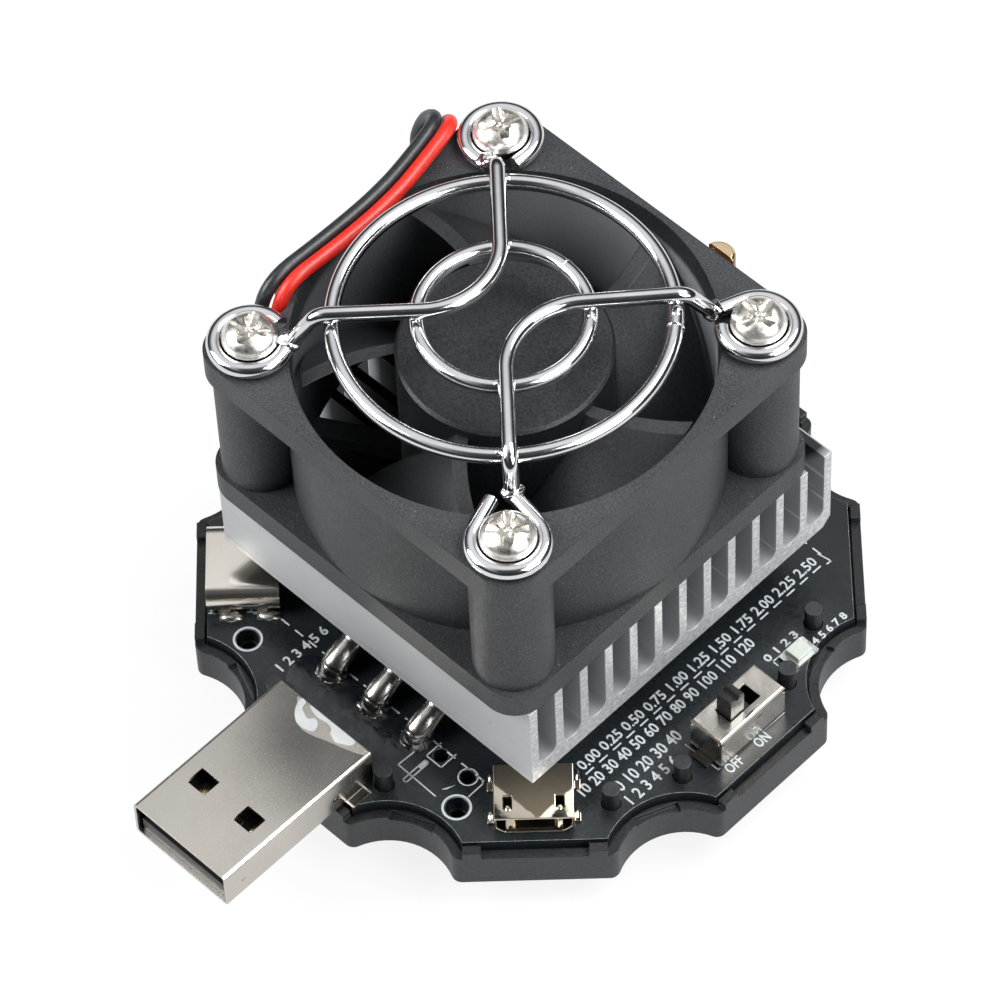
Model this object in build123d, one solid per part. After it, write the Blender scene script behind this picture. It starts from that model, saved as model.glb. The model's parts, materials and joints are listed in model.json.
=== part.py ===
"""USB load module: a scalloped octagonal meter base that carries a board, a finned
heatsink with a 40 mm blower and its wire guard, and the sockets round its edge.

Millimetres, +Z up. The origin is the centre of the flat underside of the base.
The plug points along -Y, the load switch sits on the +X flat."""

import math
import os

from build123d import *

# Clearances
touch_gap = 0.03          # parts that bear on each other
slide_gap = 0.1           # sliding pieces in their guides
loose_gap = 0.25          # trim and covers in their recesses

# Base outline: eight flats joined by eight concave scallops
board_apothem = 30.3      # centre to a flat of the board
board_flat = 13.3         # length of one flat of the board
scallop_radius = 7.6
sides = 8

# Base heights
base_height = 8.5         # underside to the top face of the board
board_t = 1.6
floor_t = 1.4
dish_height = 3.6         # height of the bevelled lower part
dish_inset = 3.6          # how far the bevel runs in
rim_wall = 0.95
rim_drop = 1.0            # rim below the top face of the board
ledge_width = 1.5         # shelf that carries the board's edge
lower_wall = 2.8          # inset of the cavity from the board's outline
corner_round = 1.0        # upright edges of the base

# Pegs and holes on one circle
peg_circle = 27.4
peg_spread = 15.0         # degrees either side of a flat's middle
peg_radius = 0.85
peg_rise = 2.4
boss_wall = 0.95
fixing_hole_radius = 1.1
pilot_bite = 0.3          # pilot holes are this much smaller
fixing_angles = (60.0, 120.0, 240.0, 300.0)
pad_hole_radius = 0.75
pad_holes = ((8.65, -20.65), (12.15, -20.65))

# Clips at the ends of each flat, notches at the middle of each scallop
clip_length = 1.7
clip_drop = 0.2
notch_length = 4.4
notch_depth = 0.4

# Display on the underside
window_width = 30.0
window_height = 30.0
window_t = 0.9
window_margin = 1.6       # lip that the window is bonded to
window_offset = 3.5       # towards +Y
window_round = 0.15
display_t = 2.6
display_border = 1.2

# Mode button on the underside
button_y = -20.0
button_radius = 2.3
button_flange = 0.9
button_flange_t = 0.8
button_recess = 0.3
button_travel = 0.5
tact_size = 6.0
tact_body_t = 2.4
tact_stem_radius = 1.6

# Heatsink, as wide as the fan
sink_height = 11.0
sink_base = 2.0
fin_count = 13
fin_t = 1.0
sink_chamfer = 1.0

# Power transistor under the heatsink
transistor_standoff = 0.9
transistor_width = 15.9
transistor_length = 20.9
transistor_t = 5.0
transistor_x = 0.2
transistor_y = -4.0
transistor_hole = 3.6
transistor_hole_inset = 5.8
tab_t = 2.0
pad_t = 0.5
pad_margin = 0.6
leg_pitch = 5.45
leg_width = 1.3
leg_t = 0.6
leg_rise = 2.4            # above the underside of the transistor
leg_bend_y = -16.6        # where the coated run starts
leg_bend_lift = 2.9       # its centreline there, above the board
leg_foot_y = -20.9
leg_foot_lift = 0.75
solder_radius = 1.2

# Fan
fan_size = 40.0
fan_height = 20.0
fan_offset = -1.75        # fan centre against the base centre, along Y
screw_inset = 4.0         # screw centres from the edges of the frame
flange_t = 3.0
frame_round = 3.2
column_radius = 3.75
screw_hole_radius = 2.15
duct_wall = 1.1
duct_flare = 0.45
strut_width = 2.2
strut_t = 1.4
strut_count = 4
strut_turn = 30.0
motor_base_radius = 10.2
motor_base_t = 1.5
tube_radius = 2.9
tube_wall = 0.9
tube_height = 11.0

# Rotor
rotor_drop = 0.9          # hub face below the top of the frame
hub_radius = 9.9
hub_wall = 0.9
hub_face_t = 1.3
hub_lift = 4.2            # lower rim of the hub above the foot of the frame
tip_gap = 0.5
hub_edge = 0.3
blade_count = 5
blade_root_t = 1.8        # thickness measured upright
blade_tip_t = 1.2
blade_low = 5.0           # above the foot of the frame
blade_high = 17.9
blade_span = 52.0         # degrees of arc from edge to edge
blade_sweep = 15.0        # degrees that the tip leads the root
blade_place = 17.0        # angle of the first blade's upper edge, at its tip
magnet_t = 0.75
magnet_height = 8.0
shaft_radius = 1.0
bearing_gap = 0.03
stator_gap = 0.3
stator_height = 7.0
winding_poles = 4
pole_gap = 0.9
fan_board_t = 0.8

# Lead notch of the frame
notch_y = -11.55          # measured in the fan's own frame
notch_width = 4.6
notch_reach = 3.2

# Finger guard and screws
wire_radius = 0.75
loop_radius = 3.25
loop_neck = 4.6           # where the arm joins its loop, from the screw
loop_neck_angle = 6.0     # off the line to the fan's centre
loop_end = 4.0            # the loop's free end, from the screw
loop_end_angle = 25.0
weld_radius = 0.9
ring_rise = 3.3           # ring centreline above the frame
arm_rise = 4.6
outer_ring_radius = 15.3
inner_ring_radius = 7.75
arm_bend = 7.25
arm_kink = 6.3            # where the arm levels out, from the screw
kink_bend = 1.65
head_radius = 2.65
head_height = 2.2
head_dome = 1.3           # rounding of the head's upper edge
recess_radius = 1.25
recess_depth = 1.1
shank_radius = 1.45
shank_into_fins = 5.0

# Plug that points along -Y
plug_width = 12.0
plug_height = 4.5
plug_t = 0.3
plug_rear = 26.8          # distance of its rear end from the centre
plug_reach = 45.5         # distance of its mouth from the centre
plug_round = 0.5
plug_inner_round = 0.3
plug_tongue_t = 1.85
plug_tongue_recess = 0.4
plug_block = 7.0
plug_window = (2.3, 2.0)
plug_window_x = 3.0
plug_window_reach = 39.5
plug_tab = (1.1, 2.4)
plug_tab_reach = 29.2
contact_count = 4
contact_pitch = 2.25
contact_width = 1.1
contact_t = 0.15
contact_length = 8.0

# Micro socket on the 315 degree flat
micro_angle = -45.0
micro_width = 7.4
micro_height = 2.5
micro_depth = 6.0
micro_t = 0.25
micro_reach = 29.5
micro_taper = 0.8
micro_tongue = (3.6, 0.65, 3.6)
micro_slot = (1.4, 0.75)
micro_slot_offset = 2.4
micro_slot_reach = 27.7
micro_tab = (1.0, 0.75)
micro_tab_rear = 1.0      # from the socket's rear end
micro_tab_front = 1.5     # from its mouth

# Oval socket on the 225 degree flat
oval_angle = -135.0
oval_width = 8.94
oval_height = 3.25
oval_depth = 6.9
oval_t = 0.3
oval_reach = 30.3
oval_tongue = (6.6, 0.7, 4.6)
oval_tab = (1.0, 0.9)
oval_tab_inset = 1.7      # from either end of the socket
oval_tab_lap = 0.25       # sunk into the shell's side
shell_tab_t = 0.3

# Slide switch on the +X flat
switch_x = 26.6
switch_y = 0.2
switch_width = 3.9
switch_length = 8.6
switch_height = 4.2
switch_t = 0.3
switch_base_t = 1.6
fold_relief = 0.28        # round holes where the case is folded
knob_size = 1.8
knob_groove = 0.3
knob_rise = 2.7
knob_travel = 2.0
slider_length = 4.0
slider_t = 1.6
slider_lift = 0.3
foot_length = 0.9
foot_t = 0.3

# Indicator lamp
lamp_x = 25.2
lamp_y = 10.1
lamp_size = (2.0, 3.2, 1.1)
lamp_carrier_t = 0.4
lamp_lens = (1.7, 1.9)

# Load adjuster on the +Y flat
adjuster_y = 26.2
adjuster_width = 9.4
adjuster_depth = 8.6
adjuster_height = 5.7
bushing_radius = 3.0
bushing_length = 5.0
adjuster_shaft_radius = 1.6
adjuster_shaft_top = 23.8
adjuster_slot = 0.6
adjuster_foot = 0.8

# Fan connector
header_x = 8.65
header_y = 23.1
header_size = (5.9, 4.5, 6.0)
header_wall = 0.6
connector_plug_rise = 2.0

# Small chips
sense_size = (6.4, 3.2, 0.6)
sense_place = (11.5, 4.0)
amplifier_size = (5.0, 4.0, 1.5)
amplifier_place = (14.0, -9.0)
controller_size = (7.0, 7.0, 1.0)
controller_place = (-19.6, 1.5)

# Fan leads: points of each route, from the frame's foot flange to the connector
lead_radius = 0.68
bend_share = 0.45         # of the shorter run beside a bend
black_route = (
    (-19.3, -13.9, 28.98),
    (-19.05, -13.7, 33.2),
    (-19.2, -13.75, 38.2),
    (-19.25, -13.5, 47.5),
    (-19.35, -4.6, 46.8),
    (-19.5, 2.4, 46.85),
    (-20.5, 7.8, 46.9),
    (-21.5, 11.9, 47.2),
    (-24.4, 12.6, 44.2),
    (-24.8, 11.4, 40.2),
    (-24.9, 14.6, 34.2),
    (-23.6, 20.6, 28.6),
    (-17.6, 22.6, 24.6),
    (-9.2, 21.9, 22.8),
    (-2.2, 21.4, 23.4),
    (4.6, 21.9, 24.6),
    (7.7, 23.0, 22.2),
    (7.75, 23.1, 16.55),
)
red_route = (
    (-17.8, -13.05, 28.98),
    (-17.65, -12.75, 33.4),
    (-17.75, -12.95, 38.4),
    (-17.8, -12.75, 47.6),
    (-17.85, -4.4, 46.85),
    (-18.0, 2.6, 46.95),
    (-19.1, 8.2, 47.1),
    (-20.1, 12.3, 47.1),
    (-22.5, 13.5, 44.4),
    (-22.8, 12.4, 40.2),
    (-23.0, 15.2, 34.8),
    (-22.1, 20.3, 29.9),
    (-16.9, 22.3, 26.3),
    (-9.0, 21.8, 24.4),
    (-1.8, 21.4, 25.0),
    (6.2, 21.9, 26.4),
    (9.5, 23.0, 23.3),
    (9.55, 23.1, 16.55),
)

# Levels and places worked out from the sizes above
board_top = base_height
board_under = board_top - board_t
rim_top = board_top - rim_drop
rim_offset = loose_gap + rim_wall
half_turn = 180.0 / sides
sink_size = fan_size
fan_corner = fan_size / 2 - screw_inset
duct_radius = fan_size / 2 - duct_wall
scallop_distance = (board_apothem * math.cos(math.radians(half_turn))
                    + board_flat / 2 * math.sin(math.radians(half_turn))
                    + math.sqrt(scallop_radius ** 2
                                - (board_apothem * math.sin(math.radians(half_turn))
                                   - board_flat / 2 * math.cos(math.radians(half_turn))) ** 2))
transistor_under = board_top + transistor_standoff
transistor_top = transistor_under + transistor_t
sink_under = transistor_top + pad_t
sink_top = sink_under + sink_height
fan_foot = sink_top
fan_top = fan_foot + fan_height
switch_case_top = board_top + switch_height
knob_slot_length = knob_size + knob_travel + 2 * slide_gap
knob_rest_y = switch_y - knob_travel / 2
slider_under = board_top + switch_base_t + slider_lift
display_top = floor_t + display_t
button_top = floor_t + slide_gap + button_flange_t
tact_tip = button_top + button_travel + touch_gap
head_seat = wire_radius + math.sqrt(wire_radius ** 2 - (loop_radius - head_radius) ** 2)


def block(x_size, y_size, z_size, x=0.0, y=0.0, z=0.0):
    """A box centred on x, y that stands on z."""
    return Pos(x, y, z + z_size / 2) * Box(x_size, y_size, z_size)


def rod(radius, height, x=0.0, y=0.0, z=0.0):
    """An upright cylinder that stands on z."""
    return Pos(x, y, z + height / 2) * Cylinder(radius, height)


def pipe(outer, inner, height, x=0.0, y=0.0, z=0.0):
    """An upright tube that stands on z."""
    return rod(outer, height, x, y, z) - rod(inner, height, x, y, z)


def turned(angle, shape):
    """The shape turned about the base's axis."""
    return Rot(0, 0, angle) * shape


def outline(offset):
    """The scalloped octagon, grown by offset, as a face at z = 0."""
    reach = board_apothem + offset
    radius = scallop_radius - offset
    centre_x = scallop_distance * math.cos(math.radians(half_turn))
    centre_y = scallop_distance * math.sin(math.radians(half_turn))
    half_flat = centre_y - math.sqrt(radius ** 2 - (centre_x - reach) ** 2)
    edges = []
    for index in range(sides):
        turn = Rot(0, 0, 360 / sides * index)
        start = (turn * Pos(reach, -half_flat)).position
        end = (turn * Pos(reach, half_flat)).position
        middle = (turn * Rot(0, 0, half_turn) * Pos(scallop_distance - radius, 0)).position
        after = (turn * Rot(0, 0, 360 / sides) * Pos(reach, -half_flat)).position
        edges += [Line(start, end), ThreePointArc(end, middle, after)]
    return make_face(edges)


def rounded_outline(offset):
    """The outline with its points rounded off."""
    face = outline(offset)
    return fillet(face.vertices(), corner_round)


def slab(offset, low, high):
    """The outline as a plate between two heights."""
    return Pos(0, 0, low) * extrude(outline(offset), high - low)


def peg_angles():
    """Angles of the pegs; the fixing holes take the other places."""
    places = []
    for index in range(sides):
        for side in (-1, 1):
            angle = (360 / sides * index + side * peg_spread) % 360
            if angle not in fixing_angles:
                places.append(angle)
    return places


def circle_place(angle, radius=peg_circle):
    """A point on the peg circle."""
    return (radius * math.cos(math.radians(angle)), radius * math.sin(math.radians(angle)))


def base_housing():
    """Open tray with a bevelled underside, a shelf for the board, pegs and clips."""
    upper = Pos(0, 0, dish_height) * rounded_outline(rim_offset)
    shell = extrude(upper, rim_top - dish_height)
    dish = loft([rounded_outline(rim_offset - dish_inset), upper])
    body = shell + dish
    tray = body - slab(-lower_wall, floor_t, rim_top)
    tray -= slab(-ledge_width, floor_t + dish_height / 2, rim_top)
    tray -= slab(loose_gap, board_under, rim_top)
    boss_height = board_under - floor_t
    for angle in peg_angles():
        x, y = circle_place(angle)
        tray += rod(peg_radius + boss_wall, boss_height, x, y, floor_t) & body
        tray += rod(peg_radius, peg_rise + board_t, x, y, board_under)
    for angle in fixing_angles:
        x, y = circle_place(angle)
        pilot = boss_height / 2
        tray += rod(fixing_hole_radius + boss_wall, boss_height, x, y, floor_t) & body
        tray -= rod(fixing_hole_radius - pilot_bite, pilot, x, y, board_under - pilot)
    tray = add_clips(tray)
    tray -= window_pocket()
    tray -= rod(button_radius + loose_gap, floor_t, 0, button_y)
    return tray


def add_clips(tray):
    """Clips stand at both ends of each flat; the scallops have a shallow notch."""
    clip_depth = rim_wall
    clip_x = board_apothem + loose_gap + clip_depth / 2
    clip_y = board_flat / 2 - clip_length / 2
    notch_x = scallop_distance - scallop_radius + loose_gap + rim_wall
    for index in range(sides):
        angle = 360 / sides * index
        for side in (-1, 1):
            clip = block(clip_depth, clip_length, rim_drop - clip_drop,
                         clip_x, side * clip_y, rim_top)
            tray += turned(angle, clip)
        notch = block(rim_wall, notch_length, notch_depth, notch_x, 0, rim_top - notch_depth)
        tray -= turned(angle + half_turn, notch)
    return tray


def window_pocket():
    """Recess for the window and the opening behind it."""
    pocket = block(window_width + 2 * touch_gap, window_height + 2 * touch_gap,
                   window_t + touch_gap, 0, window_offset)
    view = block(window_width - 2 * window_margin, window_height - 2 * window_margin,
                 floor_t, 0, window_offset)
    return pocket + view


def display_window():
    """Clear cover, flush with the resting face."""
    lens = block(window_width, window_height, window_t, 0, window_offset)
    return fillet(lens.edges().filter_by(Axis.Z), window_round)


def display_module():
    """Glass panel in its frame, over the window opening."""
    frame = block(window_width + display_border, window_height + display_border, display_t,
                  0, window_offset, floor_t)
    step = display_border / 2
    face = block(window_width - 2 * window_margin - step, window_height - 2 * window_margin - step,
                 step, 0, window_offset, floor_t)
    return frame - face


def display_foam():
    """Foam pad between the display and the board."""
    return block(window_width - display_border, window_height - display_border,
                 board_under - display_top, 0, window_offset, display_top)


def main_board():
    """Circuit board with the base's outline, over the pegs."""
    board = slab(0, board_under, board_top)
    for angle in peg_angles():
        x, y = circle_place(angle)
        board -= rod(peg_radius + slide_gap, board_t, x, y, board_under)
    for angle in fixing_angles:
        x, y = circle_place(angle)
        board -= rod(fixing_hole_radius, board_t, x, y, board_under)
    for x, y in pad_holes:
        board -= rod(pad_hole_radius, board_t, x, y, board_under)
    return board


def mode_tact_switch():
    """Push switch on the underside of the board, stem down."""
    body = block(tact_size, tact_size, tact_body_t, 0, button_y, board_under - tact_body_t)
    stem_height = board_under - tact_body_t - tact_tip
    return body + rod(tact_stem_radius, stem_height, 0, button_y, tact_tip)


def mode_button():
    """Button through the floor, set back from the resting face."""
    stem = rod(button_radius, floor_t - button_recess + slide_gap, 0, button_y, button_recess)
    flange = rod(button_radius + button_flange, button_flange_t, 0, button_y,
                 floor_t + slide_gap)
    face = stem.edges().filter_by(GeomType.CIRCLE).group_by(Axis.Z)[0]
    return fillet(face, button_recess) + flange


def heatsink():
    """Extruded fins with round slot bottoms; the screws bite into the fins."""
    half = sink_size / 2
    pitch = (sink_size - fin_t) / (fin_count - 1)
    slot_width = pitch - fin_t
    slot_radius = slot_width / 2 - touch_gap
    section = Rectangle(sink_size, sink_height)
    rear_corner = section.vertices().group_by(Axis.Y)[0].sort_by(Axis.X)[-1]
    section = chamfer(rear_corner, sink_chamfer)
    slot_height = sink_height - sink_base
    for index in range(fin_count - 1):
        middle = -half + fin_t + slot_width / 2 + pitch * index
        slot = Pos(middle, sink_height / 2 - slot_height / 2) * Rectangle(slot_width, slot_height)
        slot = fillet(slot.vertices().group_by(Axis.Y)[0], slot_radius)
        section -= slot
    side_plane = Plane(origin=(-half, 0, sink_under + sink_height / 2),
                       x_dir=(0, 1, 0), z_dir=(1, 0, 0))
    sink = extrude(side_plane * section, sink_size)
    for x, y in screw_places():
        sink -= rod(shank_radius + touch_gap, shank_into_fins + touch_gap, x, y,
                    sink_top - shank_into_fins - touch_gap)
    return sink


def power_transistor():
    """Flat package, metal tab up, with its fixing hole."""
    body = block(transistor_width, transistor_length, transistor_t - tab_t,
                 transistor_x, transistor_y, transistor_under)
    tab = block(transistor_width - 2 * leg_t, transistor_length - leg_t, tab_t,
                transistor_x, transistor_y, transistor_top - tab_t)
    hole_y = transistor_y + transistor_length / 2 - transistor_hole_inset
    return body + tab - rod(transistor_hole / 2, transistor_t, transistor_x, hole_y,
                            transistor_under)


def transistor_legs():
    """Three legs that leave the body, bend down and end in solder on the board."""
    start_y = transistor_y - transistor_length / 2
    top = transistor_under + leg_rise
    legs = []
    for index in (-1, 0, 1):
        x = transistor_x + leg_pitch * index
        flat = block(leg_width, start_y - leg_bend_y, leg_t, x, (start_y + leg_bend_y) / 2, top)
        upper = Vector(x, leg_bend_y, board_top + leg_bend_lift)
        lower = Vector(x, leg_foot_y, board_top + leg_foot_lift)
        slope = Plane(origin=upper, z_dir=lower - upper)
        coat = extrude(slope * Circle(solder_radius), (lower - upper).length)
        coat += Pos(upper) * Sphere(solder_radius)
        coat += Pos(lower) * Sphere(solder_radius)
        foot = Pos(x, leg_foot_y, board_top) * Cone(
            solder_radius * 1.25, solder_radius, solder_radius / 2,
            align=(Align.CENTER, Align.CENTER, Align.MIN))
        leg = flat + coat + foot
        leg -= block(leg_pitch, sink_size, board_top, x, leg_bend_y)
        legs.append(leg)
    return Compound(legs)


def thermal_pad():
    """Bonding pad between the tab and the heatsink."""
    return block(transistor_width - pad_margin, transistor_length - pad_margin, pad_t,
                 transistor_x, transistor_y, transistor_top)


def plug_profile(width, height, inset, radius):
    """Rounded rectangle across the plug, in a plane that faces -Y."""
    return RectangleRounded(width - 2 * inset, height - 2 * inset, radius)


def plug_plane(reach, middle):
    """Plane across the plug at a distance from the centre."""
    return Plane(origin=(0, -reach, middle), x_dir=(1, 0, 0), z_dir=(0, -1, 0))


def usb_a_shell():
    """Folded shell with two latch windows above and below, and solder tabs."""
    length = plug_reach - plug_rear
    middle = board_top + plug_height / 2
    plane = plug_plane(plug_rear, middle)
    outer = extrude(plane * plug_profile(plug_width, plug_height, 0, plug_round), length)
    inner = extrude(plane * plug_profile(plug_width, plug_height, plug_t, plug_inner_round), length)
    shell = outer - inner
    for side in (-1, 1):
        shell -= block(plug_window[0], plug_window[1], plug_height,
                       side * plug_window_x, -plug_window_reach, board_top)
        tab = block(plug_tab[0], plug_tab[1], shell_tab_t,
                    side * (plug_width + plug_tab[0] - plug_t) / 2, -plug_tab_reach, board_top)
        riser = block(plug_t, plug_tab[1], plug_height / 2,
                      side * (plug_width - plug_t) / 2, -plug_tab_reach, board_top)
        shell += tab + riser
    return shell


def usb_a_insert():
    """Moulded block at the rear with the contact tongue along the lower half."""
    width = plug_width - 2 * plug_t - 2 * touch_gap
    low = board_top + plug_t + touch_gap
    full = plug_height - 2 * plug_t - 2 * touch_gap
    rear = block(width, plug_block, full, 0, -(plug_rear + plug_block / 2), low)
    rear = fillet(rear.edges().filter_by(Axis.Y), plug_inner_round)
    tongue_reach = plug_reach - plug_tongue_recess
    tongue = block(width - plug_round, tongue_reach - plug_rear, plug_tongue_t,
                   0, -(plug_rear + tongue_reach) / 2, low)
    return rear + tongue


def usb_a_contacts():
    """Four flat contacts on the tongue."""
    low = board_top + plug_t + touch_gap + plug_tongue_t
    front = plug_reach - plug_tongue_recess - contact_width
    strips = []
    for index in range(contact_count):
        x = (index - (contact_count - 1) / 2) * contact_pitch
        strips.append(block(contact_width, contact_length, contact_t,
                            x, -(front - contact_length / 2), low))
    return Compound(strips)


def socket_plane(reach, middle):
    """Plane across a socket whose mouth faces +X."""
    return Plane(origin=(reach, 0, middle), x_dir=(0, 1, 0), z_dir=(1, 0, 0))


def micro_section(inset):
    """Flat-topped section with its lower corners cut, as a face."""
    half = micro_width / 2 - inset
    low = -micro_height / 2 + inset
    high = micro_height / 2 - inset
    cut = micro_taper
    points = [(-half, high), (-half, low + cut), (-half + cut, low),
              (half - cut, low), (half, low + cut), (half, high)]
    return make_face(Polyline(*points, close=True))


def micro_usb_shell():
    """Sheet shell with a closed rear, two latch slots and four solder tabs."""
    rear = micro_reach - micro_depth
    middle = board_top + micro_height / 2
    plane = socket_plane(rear, middle)
    shell = extrude(plane * micro_section(0), micro_depth)
    shell -= Pos(micro_t, 0, 0) * extrude(plane * micro_section(micro_t), micro_depth)
    for side in (-1, 1):
        shell -= block(micro_slot[0], micro_slot[1], micro_height / 2, micro_slot_reach,
                       side * micro_slot_offset, middle)
        for reach in (rear + micro_tab_rear, micro_reach - micro_tab_front):
            shell += block(micro_tab[0], micro_tab[1], shell_tab_t, reach,
                           side * (micro_width / 2 + micro_t), board_top)
            shell += block(micro_tab[0], micro_t, middle - board_top, reach,
                           side * (micro_width - micro_t) / 2, board_top)
    return turned(micro_angle, shell)


def micro_usb_insert():
    """Rear block and thin contact tongue of the micro socket."""
    rear = micro_reach - micro_depth
    middle = board_top + micro_height / 2
    width, thick, reach = micro_tongue
    plane = socket_plane(rear + micro_t + touch_gap, middle)
    block_depth = micro_depth / 4
    core = extrude(plane * micro_section(micro_t + touch_gap), block_depth)
    tongue = block(reach, width, thick, rear + block_depth + reach / 2, 0,
                   middle + micro_t)
    return turned(micro_angle, core + tongue)


def usb_c_shell():
    """Oval sheet shell with solder tabs."""
    rear = oval_reach - oval_depth
    middle = board_top + oval_height / 2
    plane = socket_plane(rear, middle)
    outer = extrude(plane * SlotOverall(oval_width, oval_height), oval_depth)
    inner = extrude(plane * SlotOverall(oval_width - 2 * oval_t, oval_height - 2 * oval_t),
                    oval_depth)
    shell = outer - Pos(oval_t, 0, 0) * inner
    for side in (-1, 1):
        for reach in (rear + oval_tab_inset, oval_reach - oval_tab_inset):
            shell += block(oval_tab[0], oval_t, oval_height / 2, reach,
                           side * (oval_width - oval_t) / 2, board_top)
            shell += block(oval_tab[0], oval_tab[1], shell_tab_t, reach,
                           side * ((oval_width + oval_tab[1]) / 2 - oval_tab_lap), board_top)
    return turned(oval_angle, shell)


def usb_c_insert():
    """Rear block and centred contact tongue of the oval socket."""
    rear = oval_reach - oval_depth
    middle = board_top + oval_height / 2
    width, thick, reach = oval_tongue
    inset = oval_t + touch_gap
    plane = socket_plane(rear + inset, middle)
    block_depth = oval_depth / 4
    core = extrude(plane * SlotOverall(oval_width - 2 * inset, oval_height - 2 * inset),
                   block_depth)
    tongue = block(reach, width, thick, rear + block_depth + reach / 2, 0, middle - thick / 2)
    return turned(oval_angle, core + tongue)


def load_switch_case():
    """Folded sheet case over the switch, with the knob's slot and corner feet."""
    case = block(switch_width, switch_length, switch_height, switch_x, switch_y, board_top)
    case = fillet(case.edges().group_by(Axis.Z)[-1], switch_t)
    case -= block(switch_width - 2 * switch_t, switch_length - 2 * switch_t,
                  switch_height - switch_t, switch_x, switch_y, board_top)
    case -= block(knob_size + 2 * slide_gap, knob_slot_length, switch_height,
                  switch_x, switch_y, board_top)
    for side_x in (-1, 1):
        for side_y in (-1, 1):
            corner = Pos(switch_x + side_x * (switch_width - switch_t) / 2,
                         switch_y + side_y * (switch_length - switch_t) / 2,
                         switch_case_top - 2 * switch_t)
            case -= corner * Rot(0, 90, 0) * Cylinder(fold_relief, 2 * switch_t)
    for side in (-1, 1):
        case += block(switch_width / 2, foot_length, foot_t, switch_x,
                      switch_y + side * (switch_length + foot_length) / 2, board_top)
    return case


def load_switch_base():
    """Insulating base that closes the case from below."""
    inset = 2 * (switch_t + touch_gap)
    return block(switch_width - inset, switch_length - inset, switch_base_t,
                 switch_x, switch_y, board_top)


def load_switch_knob():
    """Slider inside the case with the square knob above, at the end marked OFF."""
    slider = block(switch_width - 2 * switch_t - 2 * slide_gap, slider_length, slider_t,
                   switch_x, knob_rest_y, slider_under)
    height = switch_case_top + knob_rise - slider_under
    knob = block(knob_size, knob_size, height, switch_x, knob_rest_y, slider_under)
    knob = fillet(knob.edges().group_by(Axis.Z)[-1], slide_gap)
    groove = Pos(switch_x, knob_rest_y, slider_under + height) * Rot(45, 0, 0) * Box(
        knob_size, knob_groove * math.sqrt(2), knob_groove * math.sqrt(2))
    return slider + knob - groove


def load_led():
    """Surface lamp: a carrier with a clear block between its end caps."""
    x_size, y_size, height = lamp_size
    carrier = block(x_size, y_size, lamp_carrier_t, lamp_x, lamp_y, board_top)
    lens = block(lamp_lens[0], lamp_lens[1], height - lamp_carrier_t, lamp_x, lamp_y,
                 board_top + lamp_carrier_t)
    return carrier + lens


def adjuster_body():
    """Body of the load adjuster, with its threaded neck and corner feet."""
    low = board_top + adjuster_foot / 2
    body = block(adjuster_width, adjuster_depth, adjuster_height, 0, adjuster_y, low)
    body = chamfer(body.edges().group_by(Axis.Z)[-1], adjuster_foot / 2)
    for side_x in (-1, 1):
        for side_y in (-1, 1):
            body += block(adjuster_foot, adjuster_foot, adjuster_foot,
                          side_x * (adjuster_width / 2 - adjuster_foot),
                          adjuster_y + side_y * (adjuster_depth / 2 - adjuster_foot), board_top)
    depth = adjuster_height + bushing_length
    body -= rod(adjuster_shaft_radius + bearing_gap, depth, 0, adjuster_y,
                low + adjuster_foot * 2)
    return body


def adjuster_bushing():
    """Threaded neck round the adjuster's shaft."""
    low = board_top + adjuster_foot / 2 + adjuster_height
    neck = pipe(bushing_radius, adjuster_shaft_radius + bearing_gap, bushing_length,
                0, adjuster_y, low)
    return neck


def adjuster_shaft():
    """Slotted shaft of the load adjuster."""
    low = board_top + adjuster_foot / 2 + adjuster_foot * 2 + touch_gap
    top = board_top + adjuster_shaft_top
    shaft = rod(adjuster_shaft_radius, top - low, 0, adjuster_y, low)
    shaft = chamfer(shaft.edges().group_by(Axis.Z)[-1], adjuster_slot / 2)
    slot = block(adjuster_shaft_radius * 2, adjuster_slot, adjuster_slot * 2,
                 0, adjuster_y, top - adjuster_slot * 2)
    return shaft - slot


def fan_header():
    """Board header: an open box round two pins."""
    x_size, y_size, height = header_size
    body = block(x_size, y_size, height, header_x, header_y, board_top)
    body -= block(x_size - 2 * header_wall, y_size - 2 * header_wall, height - header_wall,
                  header_x, header_y, board_top + header_wall)
    return body


def fan_plug():
    """Plug of the fan leads, seated in the header."""
    x_size, y_size, height = header_size
    inner_x = x_size - 2 * header_wall - 2 * touch_gap
    inner_y = y_size - 2 * header_wall - 2 * touch_gap
    low = board_top + header_wall
    return block(inner_x, inner_y, height + connector_plug_rise - header_wall,
                 header_x, header_y, low)


def screw_places():
    """Centres of the four fan screws."""
    return [(side_x * fan_corner, fan_offset + side_y * fan_corner)
            for side_x, side_y in ((-1, 1), (-1, -1), (1, -1), (1, 1))]


def square_plate(low, high):
    """Square flange of the fan with round corners."""
    face = RectangleRounded(fan_size, fan_size, frame_round)
    return Pos(0, fan_offset, low) * extrude(face, high - low)


def fan_frame():
    """Two flanges, four corner columns, the duct, the struts and the bearing tube."""
    frame = square_plate(fan_foot, fan_foot + flange_t)
    frame += square_plate(fan_top - flange_t, fan_top)
    inside = square_plate(fan_foot, fan_top)
    frame += rod(duct_radius + duct_wall, fan_height, 0, fan_offset, fan_foot) & inside
    for x, y in screw_places():
        frame += rod(column_radius, fan_height, x, y, fan_foot)
    frame -= rod(duct_radius, fan_height, 0, fan_offset, fan_foot)
    flare = Cone(duct_radius, duct_radius + duct_flare, flange_t)
    frame -= Pos(0, fan_offset, fan_top - flange_t / 2) * flare
    for x, y in screw_places():
        frame -= rod(screw_hole_radius, fan_height, x, y, fan_foot)
    frame -= block(notch_reach, notch_width, flange_t, -(fan_size - notch_reach) / 2,
                   fan_offset + notch_y, fan_top - flange_t)
    return frame + motor_carrier()


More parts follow.
